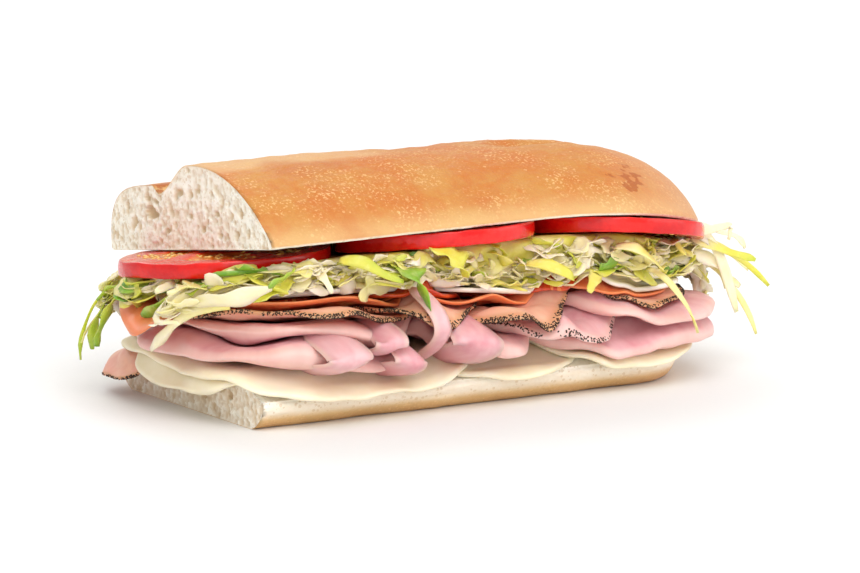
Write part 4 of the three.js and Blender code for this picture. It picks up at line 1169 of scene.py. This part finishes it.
def placedShred(row, dice):
    start, bow, tip, wide, thick, roll, shades = row
    path = bend3(start, bow, tip, shredLook["steps"] + 4)
    t = np.linspace(0, 1, len(path))
    path += 0.5 * np.sin(t[:, None] * dice.uniform(5, 10) + dice.uniform(0, tau, 3)) * ease(t)[:, None]
    form = {"wide": wide, "thick": thick, "roll": roll + dice.normal(0, 0.15), "twist": dice.normal(0, 0.3),
            "cup": dice.uniform(-0.2, 0.2), "taper": 0.3, "frill": dice.uniform(0.5, 1.2), "edge": 0.2}
    return path, form, shades[0], shades[1] - shades[0]


def makeShreds():
    dice = np.random.default_rng(shredLook["seed"])
    outline = heapOutline()
    rows = [randomShred(outline, dice) for _ in range(shredLook["count"])]
    rows += [placedShred(row, dice) for row in placedShreds]
    points, faces, shade = [], [], []
    start = 0
    for path, form, base, drift in rows:
        ring, count = ribbon(path, form)
        faces += ribbonFaces(len(path), count, start)
        points.append(ring)
        t = np.repeat(np.linspace(0, 1, len(path)), count)
        shade.append(clamp(base + drift * t + 0.06 * waves(ring, 6, 8)))
        start += len(ring)
    makePiece("lettuceShreds", np.concatenate(points), faces, lettuceMaterial,
              attributes={"shade": np.concatenate(shade)})


lettuceMaterial = makeLettuceMaterial()
makeLettuceCore()
makeShreds()
print("lettuce made")

# Floor, light and camera
floorLook = {"side": 6, "tone": {"Pale": (0.86, 0.86, 0.86), "Deep": (0.84, 0.84, 0.84), "Patch": 3.0},
             "gloss": {"roughness": 0.7}}
studio = {"aim": (0, 0, 0.03), "sky": (1, 0.99, 0.97, 1), "skyStrength": 0.7}
camera = {"azimuth": -31, "elevation": 11, "distance": 5.0, "pixelsPerMm": 3.7, "originPixel": (428, 381.5),
          "frame": (860, 573), "sensor": 36}
lights = [
    ("key", (-0.25, -0.75, 0.95), 0.9, 8.6), ("fill", (0.9, -0.7, 0.45), 0.9, 3.5),
    ("back", (0.1, 0.9, 0.8), 0.9, 5), ("low", (-0.35, -1.0, 0.14), 0.8, 1.8),
]


def makeFloor():
    side = floorLook["side"]
    mesh = bpy.data.meshes.new("floor")
    mesh.from_pydata([(-side, -side, 0), (side, -side, 0), (side, side, 0), (-side, side, 0)], [],
                     [(0, 1, 2, 3)])
    mesh.materials.append(makeToned("paleFloor", floorLook))
    floor = show("floor", mesh)


def makeLights():
    for name, place, size, power in lights:
        lamp = bpy.data.lights.new(name, "AREA")
        lamp.size = size
        lamp.energy = power
        holder = show(name, lamp)
        holder.location = place
        holder.rotation_euler = (Vector(studio["aim"]) - Vector(place)).to_track_quat("-Z", "Y").to_euler()
    world = bpy.data.worlds.new("studio")
    world.use_nodes = True
    sky = world.node_tree.nodes["Background"].inputs
    sky["Color"].default_value = studio["sky"]
    sky["Strength"].default_value = studio["skyStrength"]
    bpy.context.scene.world = world


def makeCamera():
    theta, rise = math.radians(-camera["azimuth"]), math.radians(camera["elevation"])
    forward = Vector((math.sin(theta) * math.cos(rise), math.cos(theta) * math.cos(rise), -math.sin(rise)))
    right = Vector((math.cos(theta), -math.sin(theta), 0))
    up = right.cross(forward)
    scale = camera["pixelsPerMm"] / mm
    offX = (camera["frame"][0] / 2 - camera["originPixel"][0]) / scale
    offY = (camera["originPixel"][1] - camera["frame"][1] / 2) / scale
    target = right * offX + up * offY
    lens = bpy.data.cameras.new("camera")
    lens.sensor_width = camera["sensor"]
    lens.lens = camera["sensor"] * camera["distance"] / (camera["frame"][0] / scale)
    lens.clip_end = 20
    holder = show("camera", lens)
    holder.location = target - forward * camera["distance"]
    holder.rotation_euler = forward.to_track_quat("-Z", "Y").to_euler()
    bpy.context.scene.camera = holder


makeFloor()
makeLights()
makeCamera()
bpy.context.scene.view_settings.view_transform = "Standard"
print("floor, light and camera made")
